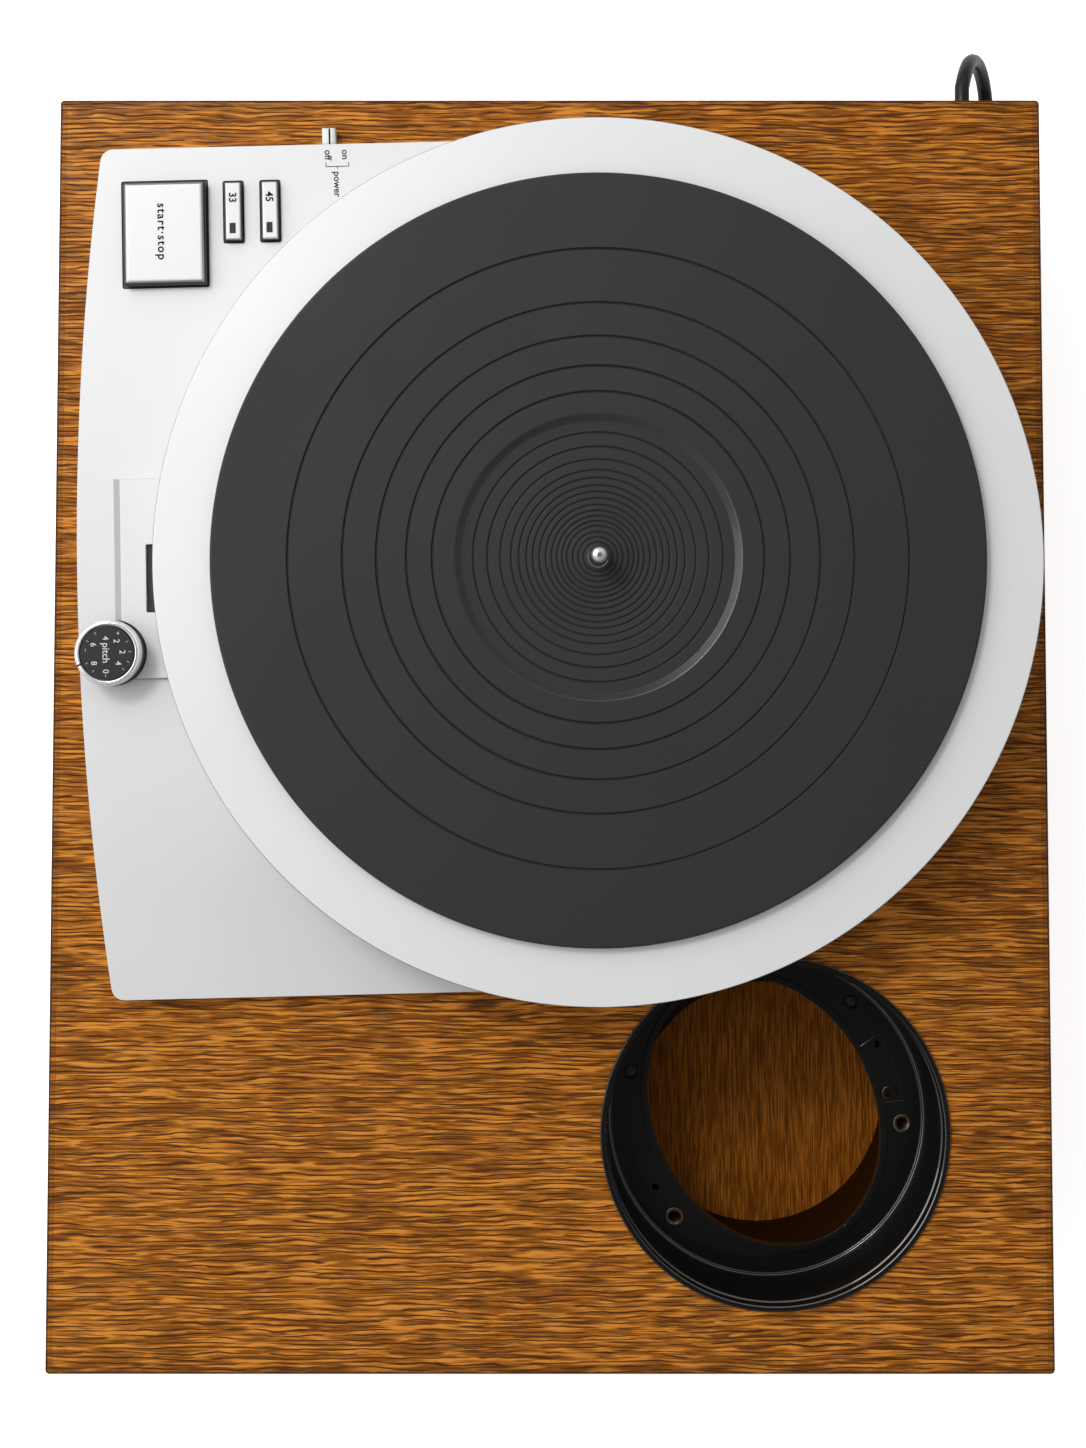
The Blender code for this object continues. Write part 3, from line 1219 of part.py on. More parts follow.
def make_pitch_control():
    at = (PITCH_X, PITCH_Y, 0)
    flat_at = (PITCH_X, PITCH_Y)
    base_profile = [
        (PITCH_RING_RADIUS, PITCH_BASE_TOP),
        (PITCH_RING_RADIUS, DECK_HEIGHT + GAP),
        (PITCH_HOLE_RADIUS, DECK_HEIGHT + GAP),
        (PITCH_HOLE_RADIUS, PITCH_BASE_TOP),
    ]
    paint(turned("pitch_base", base_profile, unit_frame, at), "black_plastic")

    dial_top = PITCH_RING_TOP - PITCH_DIAL_DROP
    dial_bottom = dial_top - PITCH_DIAL_SHEET
    dial_radius = PITCH_RING_RADIUS - PITCH_RING_WALL - SLIDE_CLEARANCE
    post_bottom = PITCH_POT_BOTTOM + PITCH_POT_FLOOR + GAP
    dial_profile = [
        (0, dial_top),
        (dial_radius, dial_top),
        (dial_radius, dial_bottom),
        (PITCH_POST_RADIUS, dial_bottom),
        (PITCH_POST_RADIUS, post_bottom),
        (0, post_bottom),
    ]
    paint(turned("pitch_dial", dial_profile, unit_frame, at), "black_plastic")

    web_top = dial_bottom - GAP
    web_bottom = web_top - PITCH_WEB_SHEET
    wall_inner = PITCH_RING_RADIUS - PITCH_RING_WALL
    sleeve_bottom = PITCH_POT_BOTTOM + PITCH_POT_HEIGHT / 2
    ring_profile = [
        (PITCH_RING_RADIUS - PITCH_RING_ROUND, PITCH_RING_TOP),
        (PITCH_RING_RADIUS, PITCH_RING_TOP - PITCH_RING_ROUND),
        (PITCH_RING_RADIUS, PITCH_RING_BOTTOM),
        (wall_inner, PITCH_RING_BOTTOM),
        (wall_inner, web_bottom),
        (PITCH_SLEEVE_RADIUS, web_bottom),
        (PITCH_SLEEVE_RADIUS, sleeve_bottom),
        (PITCH_SLEEVE_INNER, sleeve_bottom),
        (PITCH_SLEEVE_INNER, web_top),
        (wall_inner, web_top),
        (wall_inner, PITCH_RING_TOP),
    ]
    ring = turned("pitch_knob", ring_profile, unit_frame, at)
    pointer = box(
        "pitch_pointer", (wall_inner - OVERRUN, -PITCH_POINTER_WIDTH / 2, PITCH_RING_TOP - PITCH_POINTER_DEPTH),
        (PITCH_RING_RADIUS + OVERRUN, PITCH_POINTER_WIDTH / 2, PITCH_RING_TOP + OVERRUN),
        unit_frame, flat_at,
    )
    pointer.rotation_euler = (0, 0, math.radians(PITCH_POINTER_ANGLE))
    cut(ring, pointer)
    paint(ring, "chrome")

    # The bush stands up through the deck and the base, and the ring's sleeve turns inside it
    pot = prism(
        "pitch_pot", [rectangle(PITCH_POT_LENGTH, PITCH_POT_WIDTH)], PITCH_POT_BOTTOM,
        PITCH_POT_TOP, unit_frame, flat_at,
    )
    bush_top = web_bottom - GAP
    join(pot, cylinder(
        "pitch_bush", PITCH_BUSH_RADIUS, PITCH_POT_TOP - GAP, bush_top, unit_frame, flat_at
    ))
    cut(pot, cylinder(
        "pitch_bush_bore", PITCH_BUSH_INNER, PITCH_POT_BOTTOM + PITCH_POT_FLOOR,
        bush_top + OVERRUN, unit_frame, flat_at,
    ))
    paint(pot, "steel")


def make_strobe():
    at = (STROBE_X, STROBE_Y)
    lip_top = DECK_UNDERSIDE - GAP
    lip_bottom = lip_top - STROBE_LIP_SHEET
    window = rectangle(STROBE_LENGTH - 2 * GAP, STROBE_WIDTH - 2 * GAP)
    lens = prism(
        "strobe_lens", [window], lip_bottom, PAD_TOP - STROBE_LENS_DROP, unit_frame, at
    )
    lip = rectangle(STROBE_LENGTH + 2 * STROBE_LENS_LIP, STROBE_WIDTH + 2 * STROBE_LENS_LIP)
    join(lens, prism("strobe_lip", [lip], lip_bottom, lip_top, unit_frame, at))
    paint(lens, "smoke_lens")

    housing_top = lip_bottom - GAP
    housing_bottom = housing_top - STROBE_HOUSING_DEPTH
    wall = 2 * STROBE_HOUSING_WALL
    outside = rectangle(STROBE_LENGTH + wall, STROBE_WIDTH + wall)
    inside = rectangle(STROBE_LENGTH, STROBE_WIDTH)
    housing = prism("strobe_housing", [outside], housing_bottom, housing_top, unit_frame, at)
    cavity_floor = housing_bottom + STROBE_HOUSING_WALL
    cut(housing, prism(
        "strobe_cavity", [inside], cavity_floor, housing_top + OVERRUN, unit_frame, at
    ))
    paint(housing, "black_plastic")

    half = STROBE_LAMP_LENGTH / 2
    lamp = cylinder("strobe_lamp", STROBE_LAMP_RADIUS, -half, half, unit_frame)
    lamp.location = (STROBE_X, STROBE_Y, cavity_floor + GAP + STROBE_LAMP_RADIUS)
    lamp.rotation_euler = (0, math.radians(90), 0)
    paint(lamp, "lamp_glass")


def make_platter():
    rim_inner = PLATTER_RADIUS - PLATTER_RIM_WALL
    band_radius = PLATTER_RADIUS - PLATTER_BAND_DEPTH
    band_top = PLATTER_TOP - PLATTER_BAND_MARGIN
    band_bottom = PLATTER_BOTTOM + PLATTER_BAND_MARGIN
    sheet_bottom = PLATTER_TOP - PLATTER_SHEET
    web_bottom = PLATTER_TOP - PLATTER_WEB_SHEET
    hub_bottom = PLATTER_TOP - PLATTER_HUB_LENGTH
    bore = SPINDLE_RADIUS + GAP
    profile = [
        (PLATTER_RADIUS - PLATTER_EDGE_ROUND, PLATTER_TOP),
        (PLATTER_RADIUS, PLATTER_TOP - PLATTER_EDGE_ROUND),
        (PLATTER_RADIUS, band_top + PLATTER_BAND_DEPTH),
        (band_radius, band_top),
        (band_radius, band_bottom),
        (PLATTER_RADIUS, band_bottom - PLATTER_BAND_DEPTH),
        (PLATTER_RADIUS, PLATTER_BOTTOM + PLATTER_EDGE_ROUND),
        (PLATTER_RADIUS - PLATTER_EDGE_ROUND, PLATTER_BOTTOM),
        (rim_inner, PLATTER_BOTTOM),
        (rim_inner, sheet_bottom),
        (PLATTER_WEB_RADIUS, sheet_bottom),
        (PLATTER_WEB_RADIUS, web_bottom),
        (PLATTER_HUB_RADIUS, web_bottom),
        (PLATTER_HUB_RADIUS, hub_bottom),
        (bore, hub_bottom),
        (bore, PLATTER_TOP),
    ]
    platter = turned("platter", profile, unit_frame, steps=ROUND_STEPS)

    # Cast ribs run from the web to the rim under the sheet
    rib_top = sheet_bottom + GAP
    join(platter, turned_boxes(
        "platter_ribs", PLATTER_RIB_COUNT,
        (PLATTER_WEB_RADIUS - OVERRUN, -PLATTER_RIB_SHEET / 2, rib_top - PLATTER_RIB_DEPTH),
        (rim_inner + OVERRUN, PLATTER_RIB_SHEET / 2, rib_top),
    ))
    paint(platter, "platter_silver")


def make_mat():
    bottom = PLATTER_TOP + GAP
    recess = MAT_TOP - MAT_RECESS_DEPTH
    bore = SPINDLE_TIP_RADIUS + MAT_BORE_CLEARANCE
    top = [(bore, recess)]
    radii = [MAT_RECESS_RADIUS * share for share in MAT_RIDGE_SHARES]
    for radius, following in zip(radii, radii[1:] + [MAT_RECESS_RADIUS]):
        top.append((radius, recess - MAT_RIDGE_DEPTH))
        top.append(((radius + following) / 2, recess))
    top.append((MAT_RECESS_RADIUS, recess))
    top.append((MAT_RECESS_RADIUS + MAT_RECESS_SLOPE, MAT_TOP))
    for share in MAT_GROOVE_SHARES:
        radius = MAT_RADIUS * share
        top.append((radius - MAT_GROOVE_WIDTH / 2, MAT_TOP))
        top.append((radius, MAT_TOP - MAT_GROOVE_DEPTH))
        top.append((radius + MAT_GROOVE_WIDTH / 2, MAT_TOP))
    edge = [
        (MAT_RADIUS - MAT_EDGE_ROUND, MAT_TOP),
        (MAT_RADIUS, MAT_TOP - MAT_EDGE_ROUND),
        (MAT_RADIUS, bottom),
        (bore, bottom),
    ]
    paint(turned("platter_mat", top + edge, unit_frame, steps=MAT_STEPS), "mat_rubber")


def make_spindle():
    shoulder = PLATTER_TOP - GAP
    end = -HOUSING_BELOW + THRUST_PAD_SHEET + GAP
    profile = [(0, SPINDLE_TOP)]
    for x, y in arc(SPINDLE_TIP_RADIUS, SPINDLE_TIP_DOME, SPINDLE_TIP_SWEEP, 0, CORNER_STEPS):
        profile.append((x, SPINDLE_TOP - SPINDLE_TIP_DOME + y))
    profile += [
        (SPINDLE_TIP_RADIUS, shoulder),
        (SPINDLE_RADIUS, shoulder),
        (SPINDLE_RADIUS, end + SPINDLE_END_DOME),
        (SPINDLE_RADIUS / 2, end + SPINDLE_END_DOME / 4),
        (0, end),
    ]
    paint(turned("spindle", profile, unit_frame, steps=TURNED_STEPS), "chrome")


def make_rotor():
    bore = PLATTER_HUB_RADIUS + YOKE_BORE_CLEARANCE
    wall_inner = YOKE_RADIUS - YOKE_SHEET
    profile = [
        (YOKE_RADIUS, YOKE_TOP),
        (YOKE_RADIUS, YOKE_BOTTOM),
        (wall_inner, YOKE_BOTTOM),
        (wall_inner, YOKE_TOP - YOKE_SHEET),
        (bore, YOKE_TOP - YOKE_SHEET),
        (bore, YOKE_TOP),
    ]
    paint(turned("rotor_yoke", profile, unit_frame), "steel")
    inner = MAGNET_RADIUS - MAGNET_THICKNESS
    top = MAGNET_BOTTOM + MAGNET_HEIGHT
    magnet = [(MAGNET_RADIUS, top), (MAGNET_RADIUS, MAGNET_BOTTOM), (inner, MAGNET_BOTTOM), (inner, top)]
    paint(turned("rotor_magnet", magnet, unit_frame), "magnet")


def make_stator():
    back = STATOR_BORE + STATOR_BACK
    tip = STATOR_RADIUS - STATOR_TIP_LENGTH
    ring = [
        (back, STATOR_TOP), (back, STATOR_BOTTOM), (STATOR_BORE, STATOR_BOTTOM), (STATOR_BORE, STATOR_TOP)
    ]
    core = turned("stator_core", ring, unit_frame, steps=TURNED_STEPS)
    half_tooth = STATOR_TOOTH_WIDTH / 2
    half_tip = STATOR_RADIUS * STATOR_TIP_SHARE / 2
    # The tips end on a flat, so their corners set how far they reach
    tip_end = math.sqrt(STATOR_RADIUS ** 2 - half_tip ** 2)
    join(core, turned_boxes(
        "stator_teeth", STATOR_TEETH, (back - STATOR_BACK / 2, -half_tooth, STATOR_BOTTOM),
        (tip_end - GAP, half_tooth, STATOR_TOP),
    ))
    join(core, turned_boxes(
        "stator_tips", STATOR_TEETH, (tip_end - STATOR_TIP_LENGTH, -half_tip, STATOR_BOTTOM),
        (tip_end, half_tip, STATOR_TOP),
    ))
    paint(core, "steel")

    # One wound coil round each tooth, all on an insulating ring
    half_height = WINDING_HEIGHT / 2
    clear = WINDING_TOOTH_CLEARANCE
    winding_top = MOTOR_PLANE + half_height
    winding_bottom = MOTOR_PLANE - half_height
    inner = back + clear
    ring_bottom = winding_bottom
    ring_top = STATOR_BOTTOM - clear
    ring = [
        (inner + WINDING_RING, ring_top), (inner + WINDING_RING, ring_bottom),
        (inner, ring_bottom), (inner, ring_top),
    ]
    winding = turned("stator_windings", ring, unit_frame, steps=TURNED_STEPS)
    reach = tip_end - STATOR_TIP_LENGTH - WINDING_TIP_CLEARANCE
    half_coil = half_tooth + clear + WINDING_SHEET
    join(winding, turned_boxes(
        "winding_blocks", STATOR_TEETH, (inner + clear, -half_coil, winding_bottom),
        (reach, half_coil, winding_top),
    ))
    cut(winding, turned_boxes(
        "winding_holes", STATOR_TEETH, (STATOR_BORE, -half_tooth - clear, STATOR_BOTTOM - clear),
        (STATOR_RADIUS, half_tooth + clear, STATOR_TOP + clear),
    ))
    paint(winding, "copper")


def make_motor_frame():
    flange = FRAME_INNER + FRAME_FLANGE + FRAME_WALL
    top = DECK_UNDERSIDE - GAP
    bore = HOUSING_RADIUS + GAP
    seat = STATOR_BORE + FRAME_SEAT
    seat_top = STATOR_BOTTOM - GAP
    profile = [
        (flange, top),
        (flange, top - FRAME_WALL),
        (FRAME_OUTER, top - FRAME_WALL),
        (FRAME_OUTER, FRAME_FLOOR_BOTTOM),
        (bore, FRAME_FLOOR_BOTTOM),
        (bore, seat_top),
        (seat, seat_top),
        (seat, FRAME_FLOOR_TOP),
        (FRAME_INNER, FRAME_FLOOR_TOP),
        (FRAME_INNER, top),
    ]
    frame = turned("motor_frame", profile, unit_frame)
    window_circle = (FRAME_INNER + seat) / 2
    for number in range(FRAME_WINDOW_COUNT):
        at = on_circle(window_circle, 360 * number / FRAME_WINDOW_COUNT)
        cut(frame, cylinder(
            f"frame_window_{number}", FRAME_WINDOW_RADIUS, FRAME_FLOOR_BOTTOM - OVERRUN,
            FRAME_FLOOR_TOP + OVERRUN, unit_frame, at, HOLE_STEPS,
        ))
    paint(frame, "cast_frame")


def make_bearing():
    flange_top = FRAME_FLOOR_BOTTOM - GAP
    flange_bottom = flange_top - HOUSING_FLANGE_SHEET
    profile = [
        (HOUSING_RADIUS, HOUSING_ABOVE),
        (HOUSING_RADIUS, flange_top),
        (HOUSING_FLANGE_RADIUS, flange_top),
        (HOUSING_FLANGE_RADIUS, flange_bottom),
        (HOUSING_RADIUS, flange_bottom),
        (HOUSING_RADIUS, -HOUSING_BELOW),
        (HOUSING_BORE, -HOUSING_BELOW),
        (HOUSING_BORE, HOUSING_ABOVE),
    ]
    paint(turned("bearing_housing", profile, unit_frame, steps=TURNED_STEPS), "steel")

    outer = HOUSING_BORE - GAP
    inner = SPINDLE_RADIUS + BUSH_CLEARANCE
    pad_top = -HOUSING_BELOW + THRUST_PAD_SHEET
    lower = pad_top + SPINDLE_END_DOME + GAP
    upper = HOUSING_ABOVE - BUSH_INSET - BUSH_LENGTH
    for name, bottom in (("upper_bush", upper), ("lower_bush", lower)):
        top = bottom + BUSH_LENGTH
        ring = [(outer, top), (outer, bottom), (inner, bottom), (inner, top)]
        paint(turned(name, ring, unit_frame, steps=TURNED_STEPS), "bronze")

    pad = cylinder("thrust_pad", outer, -HOUSING_BELOW, pad_top, unit_frame, steps=TURNED_STEPS)
    paint(pad, "nylon")
    cap_top = -HOUSING_BELOW - GAP
    cap = cylinder("bearing_cap", HOUSING_RADIUS, cap_top - CAP_SHEET, cap_top, unit_frame, steps=TURNED_STEPS)
    paint(cap, "steel")


def make_electronics():
    board = box(
        "main_board",
        (MAIN_BOARD_LEFT, MAIN_BOARD_FRONT, MAIN_BOARD_LEVEL - MAIN_BOARD_SHEET),
        (MAIN_BOARD_RIGHT, MAIN_BOARD_REAR, MAIN_BOARD_LEVEL),
        unit_frame,
    )
    length = MAIN_BOARD_RIGHT - MAIN_BOARD_LEFT
    width = MAIN_BOARD_REAR - MAIN_BOARD_FRONT
    for number, (across, along, long, wide, high) in enumerate(COMPONENT_SHARES):
        x = MAIN_BOARD_LEFT + length * across
        y = MAIN_BOARD_FRONT + width * along
        half_x, half_y = length * long / 2, width * wide / 2
        join(board, box(
            f"component_{number}", (x - half_x, y - half_y, MAIN_BOARD_LEVEL - GAP),
            (x + half_x, y + half_y, MAIN_BOARD_LEVEL + COMPONENT_HEIGHT * high), unit_frame,
        ))
    paint(board, "board_green")

    # A laminated core with two windows, and a coil round its middle limb
    at = (TRANSFORMER_X, TRANSFORMER_Y)
    bottom = -TRAY_DEPTH + GAP
    top = bottom + TRANSFORMER_HEIGHT
    half_length, half_width = TRANSFORMER_LENGTH / 2, TRANSFORMER_WIDTH / 2
    half_limb = TRANSFORMER_CORE_LIMB / 2
    core = box(
        "transformer_core", (-half_length, -half_width, bottom), (half_length, half_width, top),
        unit_frame, at,
    )
    window_low, window_high = bottom + TRANSFORMER_LIMB, top - TRANSFORMER_LIMB
    for side in (-1, 1):
        inner, outer = side * half_limb, side * (half_length - TRANSFORMER_LIMB)
        cut(core, box(
            f"core_window_{side}", (min(inner, outer), -half_width - OVERRUN, window_low),
            (max(inner, outer), half_width + OVERRUN, window_high), unit_frame, at,
        ))
    paint(core, "steel")
    clear = TRANSFORMER_WINDOW_CLEARANCE
    reach_x = half_length - TRANSFORMER_LIMB - clear
    reach_y = half_width + TRANSFORMER_COIL_OVERHANG
    coil_outline = rectangle(2 * reach_x, 2 * reach_y)
    hole_outline = rectangle(2 * (half_limb + clear), 2 * (half_width + clear))
    coil = prism(
        "transformer_coil", [coil_outline, hole_outline], window_low + clear, window_high - clear,
        unit_frame, at,
    )
    paint(coil, "copper")


def from_back_corner(route):
    corner = Vector((-PLINTH_LENGTH / 2, PLINTH_WIDTH / 2, 0))
    return [corner + Vector(point) for point in route]


def catmull_rom(before, start, end, after, share):
    return 0.5 * (
        2 * start
        + (end - before) * share
        + (2 * before - 5 * start + 4 * end - after) * share ** 2
        + (3 * start - before - 3 * end + after) * share ** 3
    )


# Reads points at an even spacing from a smooth curve through the route's own points. The first
# and last stretch of the route stay straight.
def along_route(route, spacing):
    knots = [Vector(point) for point in route]
    fine = []
    for i in range(1, len(knots) - 2):
        for step in range(ROUTE_STEPS):
            fine.append(catmull_rom(*knots[i - 1:i + 3], step / ROUTE_STEPS))
    fine.append(knots[-2])
    lengths = [0]
    for here, there in zip(fine, fine[1:]):
        lengths.append(lengths[-1] + (there - here).length)
    count = max(round(lengths[-1] / spacing), 1)
    points = []
    at = 0
    for number in range(count + 1):
        wanted = lengths[-1] * number / count
        while at < len(fine) - 2 and lengths[at + 1] < wanted:
            at += 1
        share = (wanted - lengths[at]) / (lengths[at + 1] - lengths[at])
        points.append(fine[at].lerp(fine[at + 1], min(share, 1)))
    ends = (knots[1] - knots[0]).length + (knots[-1] - knots[-2]).length
    return [knots[0]] + points + [knots[-1]], lengths[-1] + ends


# The coil lies in two layers: it spirals in, climbs in the half turn where it reverses, and
# spirals out again on top. Seen from above it runs clockwise.
def coil_point(turns):
    turn_in = COIL_TURNS
    reversal = turn_in + 0.5
    level = COIL_LOW
    if turns <= turn_in:
        radius = COIL_OUTER - COIL_PITCH * turns
    elif turns <= reversal:
        share = (turns - turn_in) / (reversal - turn_in)
        radius = COIL_INNER - COIL_PITCH / (2 * math.pi) * math.sin(math.pi * share)
        level = COIL_LOW + COIL_PITCH * share * share * (3 - 2 * share)
    else:
        radius = COIL_INNER + COIL_PITCH * (turns - reversal)
        level = COIL_HIGH
    x, y = on_circle(radius, 90 - 360 * turns)
    return Vector((COIL_X + x, COIL_Y + y, level))


def least_gap(points):
    reach = COIL_POINTS // 2
    closest = min(
        (points[i] - points[j]).length
        for i in range(len(points))
        for j in range(i + reach, len(points))
    )
    return closest - CORD_DIAMETER


def make_cord():
    radius = CORD_DIAMETER / 2
    wall = PLINTH_LENGTH / 2
    flange_out = GAP + GLAND_FLANGE_SHEET
    nose = flange_out + GLAND_NOSE_LENGTH - GLAND_FLANGE_SHEET
    body = GLAND_HOLE - GLAND_BODY_CLEARANCE
    inside = -SIDE_BOARD - GAP
    profile = [(0, nose), (GLAND_NOSE_RADIUS, nose)]
    flute = (nose - flange_out) / (2 * GLAND_FLUTES)
    for number in range(GLAND_FLUTES):
        share = number / GLAND_FLUTES
        around = GLAND_NOSE_RADIUS + (GLAND_NOSE_BASE - GLAND_NOSE_RADIUS) * share
        level = nose - 2 * flute * number
        profile.append((around, level - flute))
        profile.append((around - GLAND_FLUTE_DEPTH, level - flute * GLAND_FLUTE_SHARE))
    profile += [
        (GLAND_NOSE_BASE, flange_out),
        (GLAND_FLANGE_RADIUS, flange_out),
        (GLAND_FLANGE_RADIUS, GAP),
        (body, GAP),
        (body, inside),
        (GLAND_CLIP_RADIUS, inside),
        (GLAND_CLIP_RADIUS, inside - GLAND_FLANGE_SHEET),
        (0, inside - GLAND_FLANGE_SHEET),
    ]
    gland = turned("cord_gland", profile, at=(-wall, GLAND_Y, GLAND_HEIGHT), steps=SMALL_STEPS)
    gland.rotation_euler = (0, math.radians(-90), 0)
    paint(gland, "black_plastic")

    # Both ends of the coil run straight for one diameter before they meet the free stretches
    count = round((2 * COIL_TURNS + 0.5) * COIL_POINTS)
    coil = [coil_point(number / COIL_POINTS) for number in range(count + 1)]
    straight = Vector((CORD_DIAMETER, 0, 0))
    first = coil[0] - straight
    last = coil[-1] - straight
    coil = [first] + coil + [last]
    paint(tube("cord_coil", coil, radius, 1), "cord_black")
    print(f"Least gap of the coil to itself: {least_gap(coil) * 1000:.2f} mm")

    gland_end = Vector((-wall - nose - CORD_GAP, GLAND_Y, GLAND_HEIGHT))
    lead_end = first - Vector((CORD_GAP, 0, 0))
    lead_route = [
        gland_end, gland_end - straight, *from_back_corner(LEAD_ROUTE), lead_end - straight, lead_end
    ]
    lead, lead_length = along_route(lead_route, CORD_SPACING)
    paint(tube("cord_lead", lead, radius, 2), "cord_black")

    tail_start = last - Vector((CORD_GAP, 0, 0))
    *tail_middle, tail_end = from_back_corner(TAIL_ROUTE)
    tail_route = [tail_start, tail_start - straight, *tail_middle, tail_end - straight, tail_end]
    tail, tail_length = along_route(tail_route, CORD_SPACING)
    paint(tube("cord_tail", tail, radius, 2), "cord_black")
    coil_length = sum((b - a).length for a, b in zip(coil, coil[1:]))
    whole = lead_length + coil_length + tail_length + 2 * CORD_GAP
    print(f"Cord: lead {lead_length:.4f}, coil {coil_length:.4f}, tail {tail_length:.4f}, whole {whole:.4f} m")


# A band round the coil's turns on the side away from the reversal
def make_tie():
    quarter = COIL_PITCH / 4
    inner = COIL_INNER + quarter - CORD_DIAMETER / 2 - TIE_CLEARANCE
    outer = COIL_OUTER - 3 * quarter + CORD_DIAMETER / 2 + TIE_CLEARANCE
    low = TIE_FLOOR + TIE_SHEET
    high = COIL_HIGH + CORD_DIAMETER / 2 + TIE_CLEARANCE
    half = TIE_WIDTH / 2
    band = box(
        "cord_tie", (COIL_X - outer - TIE_SHEET, COIL_Y - half, TIE_FLOOR),
        (COIL_X - inner + TIE_SHEET, COIL_Y + half, high + TIE_SHEET),
    )
    cut(band, box(
        "tie_hollow", (COIL_X - outer, COIL_Y - half - OVERRUN, low),
        (COIL_X - inner, COIL_Y + half + OVERRUN, high),
    ))
    paint(band, "black_plastic")


def make_plug():
    end = from_back_corner(TAIL_ROUTE)[-1]
    back = end.x + CORD_GAP
    shoulder = back + PLUG_NECK_LENGTH
    front = back + PLUG_LENGTH
    half, neck = PLUG_WIDTH / 2, PLUG_NECK_WIDTH / 2
    outline = [
        (back, end.y - neck), (shoulder, end.y - half), (front, end.y - half),
        (front, end.y + half), (shoulder, end.y + half), (back, end.y + neck),
    ]
    top = PLUG_FLOOR + PLUG_THICKNESS
    body = prism("plug_body", [outline], PLUG_FLOOR, top)
    soften(body, PLUG_ROUND, 2)
    middle = (PLUG_FLOOR + top) / 2
    half_blade, half_sheet = BLADE_WIDTH / 2, BLADE_SHEET / 2
    for side, name in ((-1, "right"), (1, "left")):
        y = end.y + side * BLADE_SPREAD / 2
        slot_low = (front - PLUG_SLOT_DEPTH, y - half_sheet - GAP, middle - half_blade - GAP)
        slot_high = (front + OVERRUN, y + half_sheet + GAP, middle + half_blade + GAP)
        cut(body, box(f"plug_slot_{name}", slot_low, slot_high))
        blade = box(
            f"plug_blade_{name}",
            (front - PLUG_SLOT_DEPTH + GAP, y - half_sheet, middle - half_blade),
            (front + BLADE_LENGTH, y + half_sheet, middle + half_blade),
        )
        paint(blade, "brass")
    paint(body, "black_plastic")


clear_scene()
parts = new_collection("direct_drive_turntable")
cutters = new_collection("cutters")
unit_frame = new_frame("unit_frame", (PLATTER_AXIS_X, PLATTER_AXIS_Y, PLINTH_TOP), UNIT_TURN)
arm_frame = new_frame("arm_frame", (ARM_AXIS_X, ARM_AXIS_Y, PLINTH_TOP))
unit_cutter = as_cutter(prism(
    "unit_cutter", [cutout_outline(0)], -PLINTH_BODY, OVERRUN, unit_frame
))
arm_cutter = as_cutter(cylinder(
    "arm_cutter", COLLAR_BORE, COLLAR_BOTTOM - GAP, OVERRUN, arm_frame, steps=ROUND_STEPS
))
gland_cutter = as_cutter(cylinder(
    "gland_cutter", GLAND_HOLE, -SIDE_BOARD - OVERRUN, OVERRUN, steps=SMALL_STEPS
))
gland_cutter.location = (-PLINTH_LENGTH / 2, GLAND_Y, GLAND_HEIGHT)
gland_cutter.rotation_euler = (0, math.radians(-90), 0)

make_plinth()
make_arm_block()
make_feet()
make_arm_collar()
make_deck_plate()
make_chassis_tray()
make_button_frame()
make_buttons()
make_switches()
make_power_switch()
make_pitch_control()
make_strobe()
make_platter()
make_mat()
make_spindle()
make_rotor()
make_stator()
make_motor_frame()
make_bearing()
make_electronics()
make_cord()
make_tie()
make_plug()
bpy.context.view_layer.update()
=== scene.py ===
import math

import bmesh
import bpy
from mathutils import Matrix, Vector


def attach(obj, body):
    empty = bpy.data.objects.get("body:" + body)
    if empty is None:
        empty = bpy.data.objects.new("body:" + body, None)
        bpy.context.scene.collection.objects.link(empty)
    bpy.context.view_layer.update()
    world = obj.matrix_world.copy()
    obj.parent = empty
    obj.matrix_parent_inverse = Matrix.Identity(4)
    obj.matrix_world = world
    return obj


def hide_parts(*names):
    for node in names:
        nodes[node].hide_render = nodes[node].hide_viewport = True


# A direct drive turntable seen from straight above. Metres, +Z up, the frame's own coordinates.
# Pieces of the motor unit are drawn about the platter's axis and then laid into the plinth.

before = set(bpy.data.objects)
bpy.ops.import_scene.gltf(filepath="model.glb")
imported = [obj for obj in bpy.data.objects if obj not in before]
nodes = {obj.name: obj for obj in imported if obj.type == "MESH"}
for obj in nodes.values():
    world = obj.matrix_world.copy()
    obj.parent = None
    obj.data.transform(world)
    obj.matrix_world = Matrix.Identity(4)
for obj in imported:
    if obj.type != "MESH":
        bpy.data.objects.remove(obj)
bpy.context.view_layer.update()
print("frame loaded:", len(nodes), "nodes")

plinth = {"length": 0.492, "width": 0.385, "top": 0.109, "foot": 0.024}
unitPlace = (
    Matrix.Translation((-0.064, 0.0178, plinth["top"])) @ Matrix.Rotation(math.radians(1.4), 4, "Z")
)
armPlace = Matrix.Translation((0.1555, 0.0864, plinth["top"]))
# The play between seated pieces, a tolerance, and a height above every part of the deck
gap, hair, above = 0.0003, 0.00005, 0.02


# ---- shapes

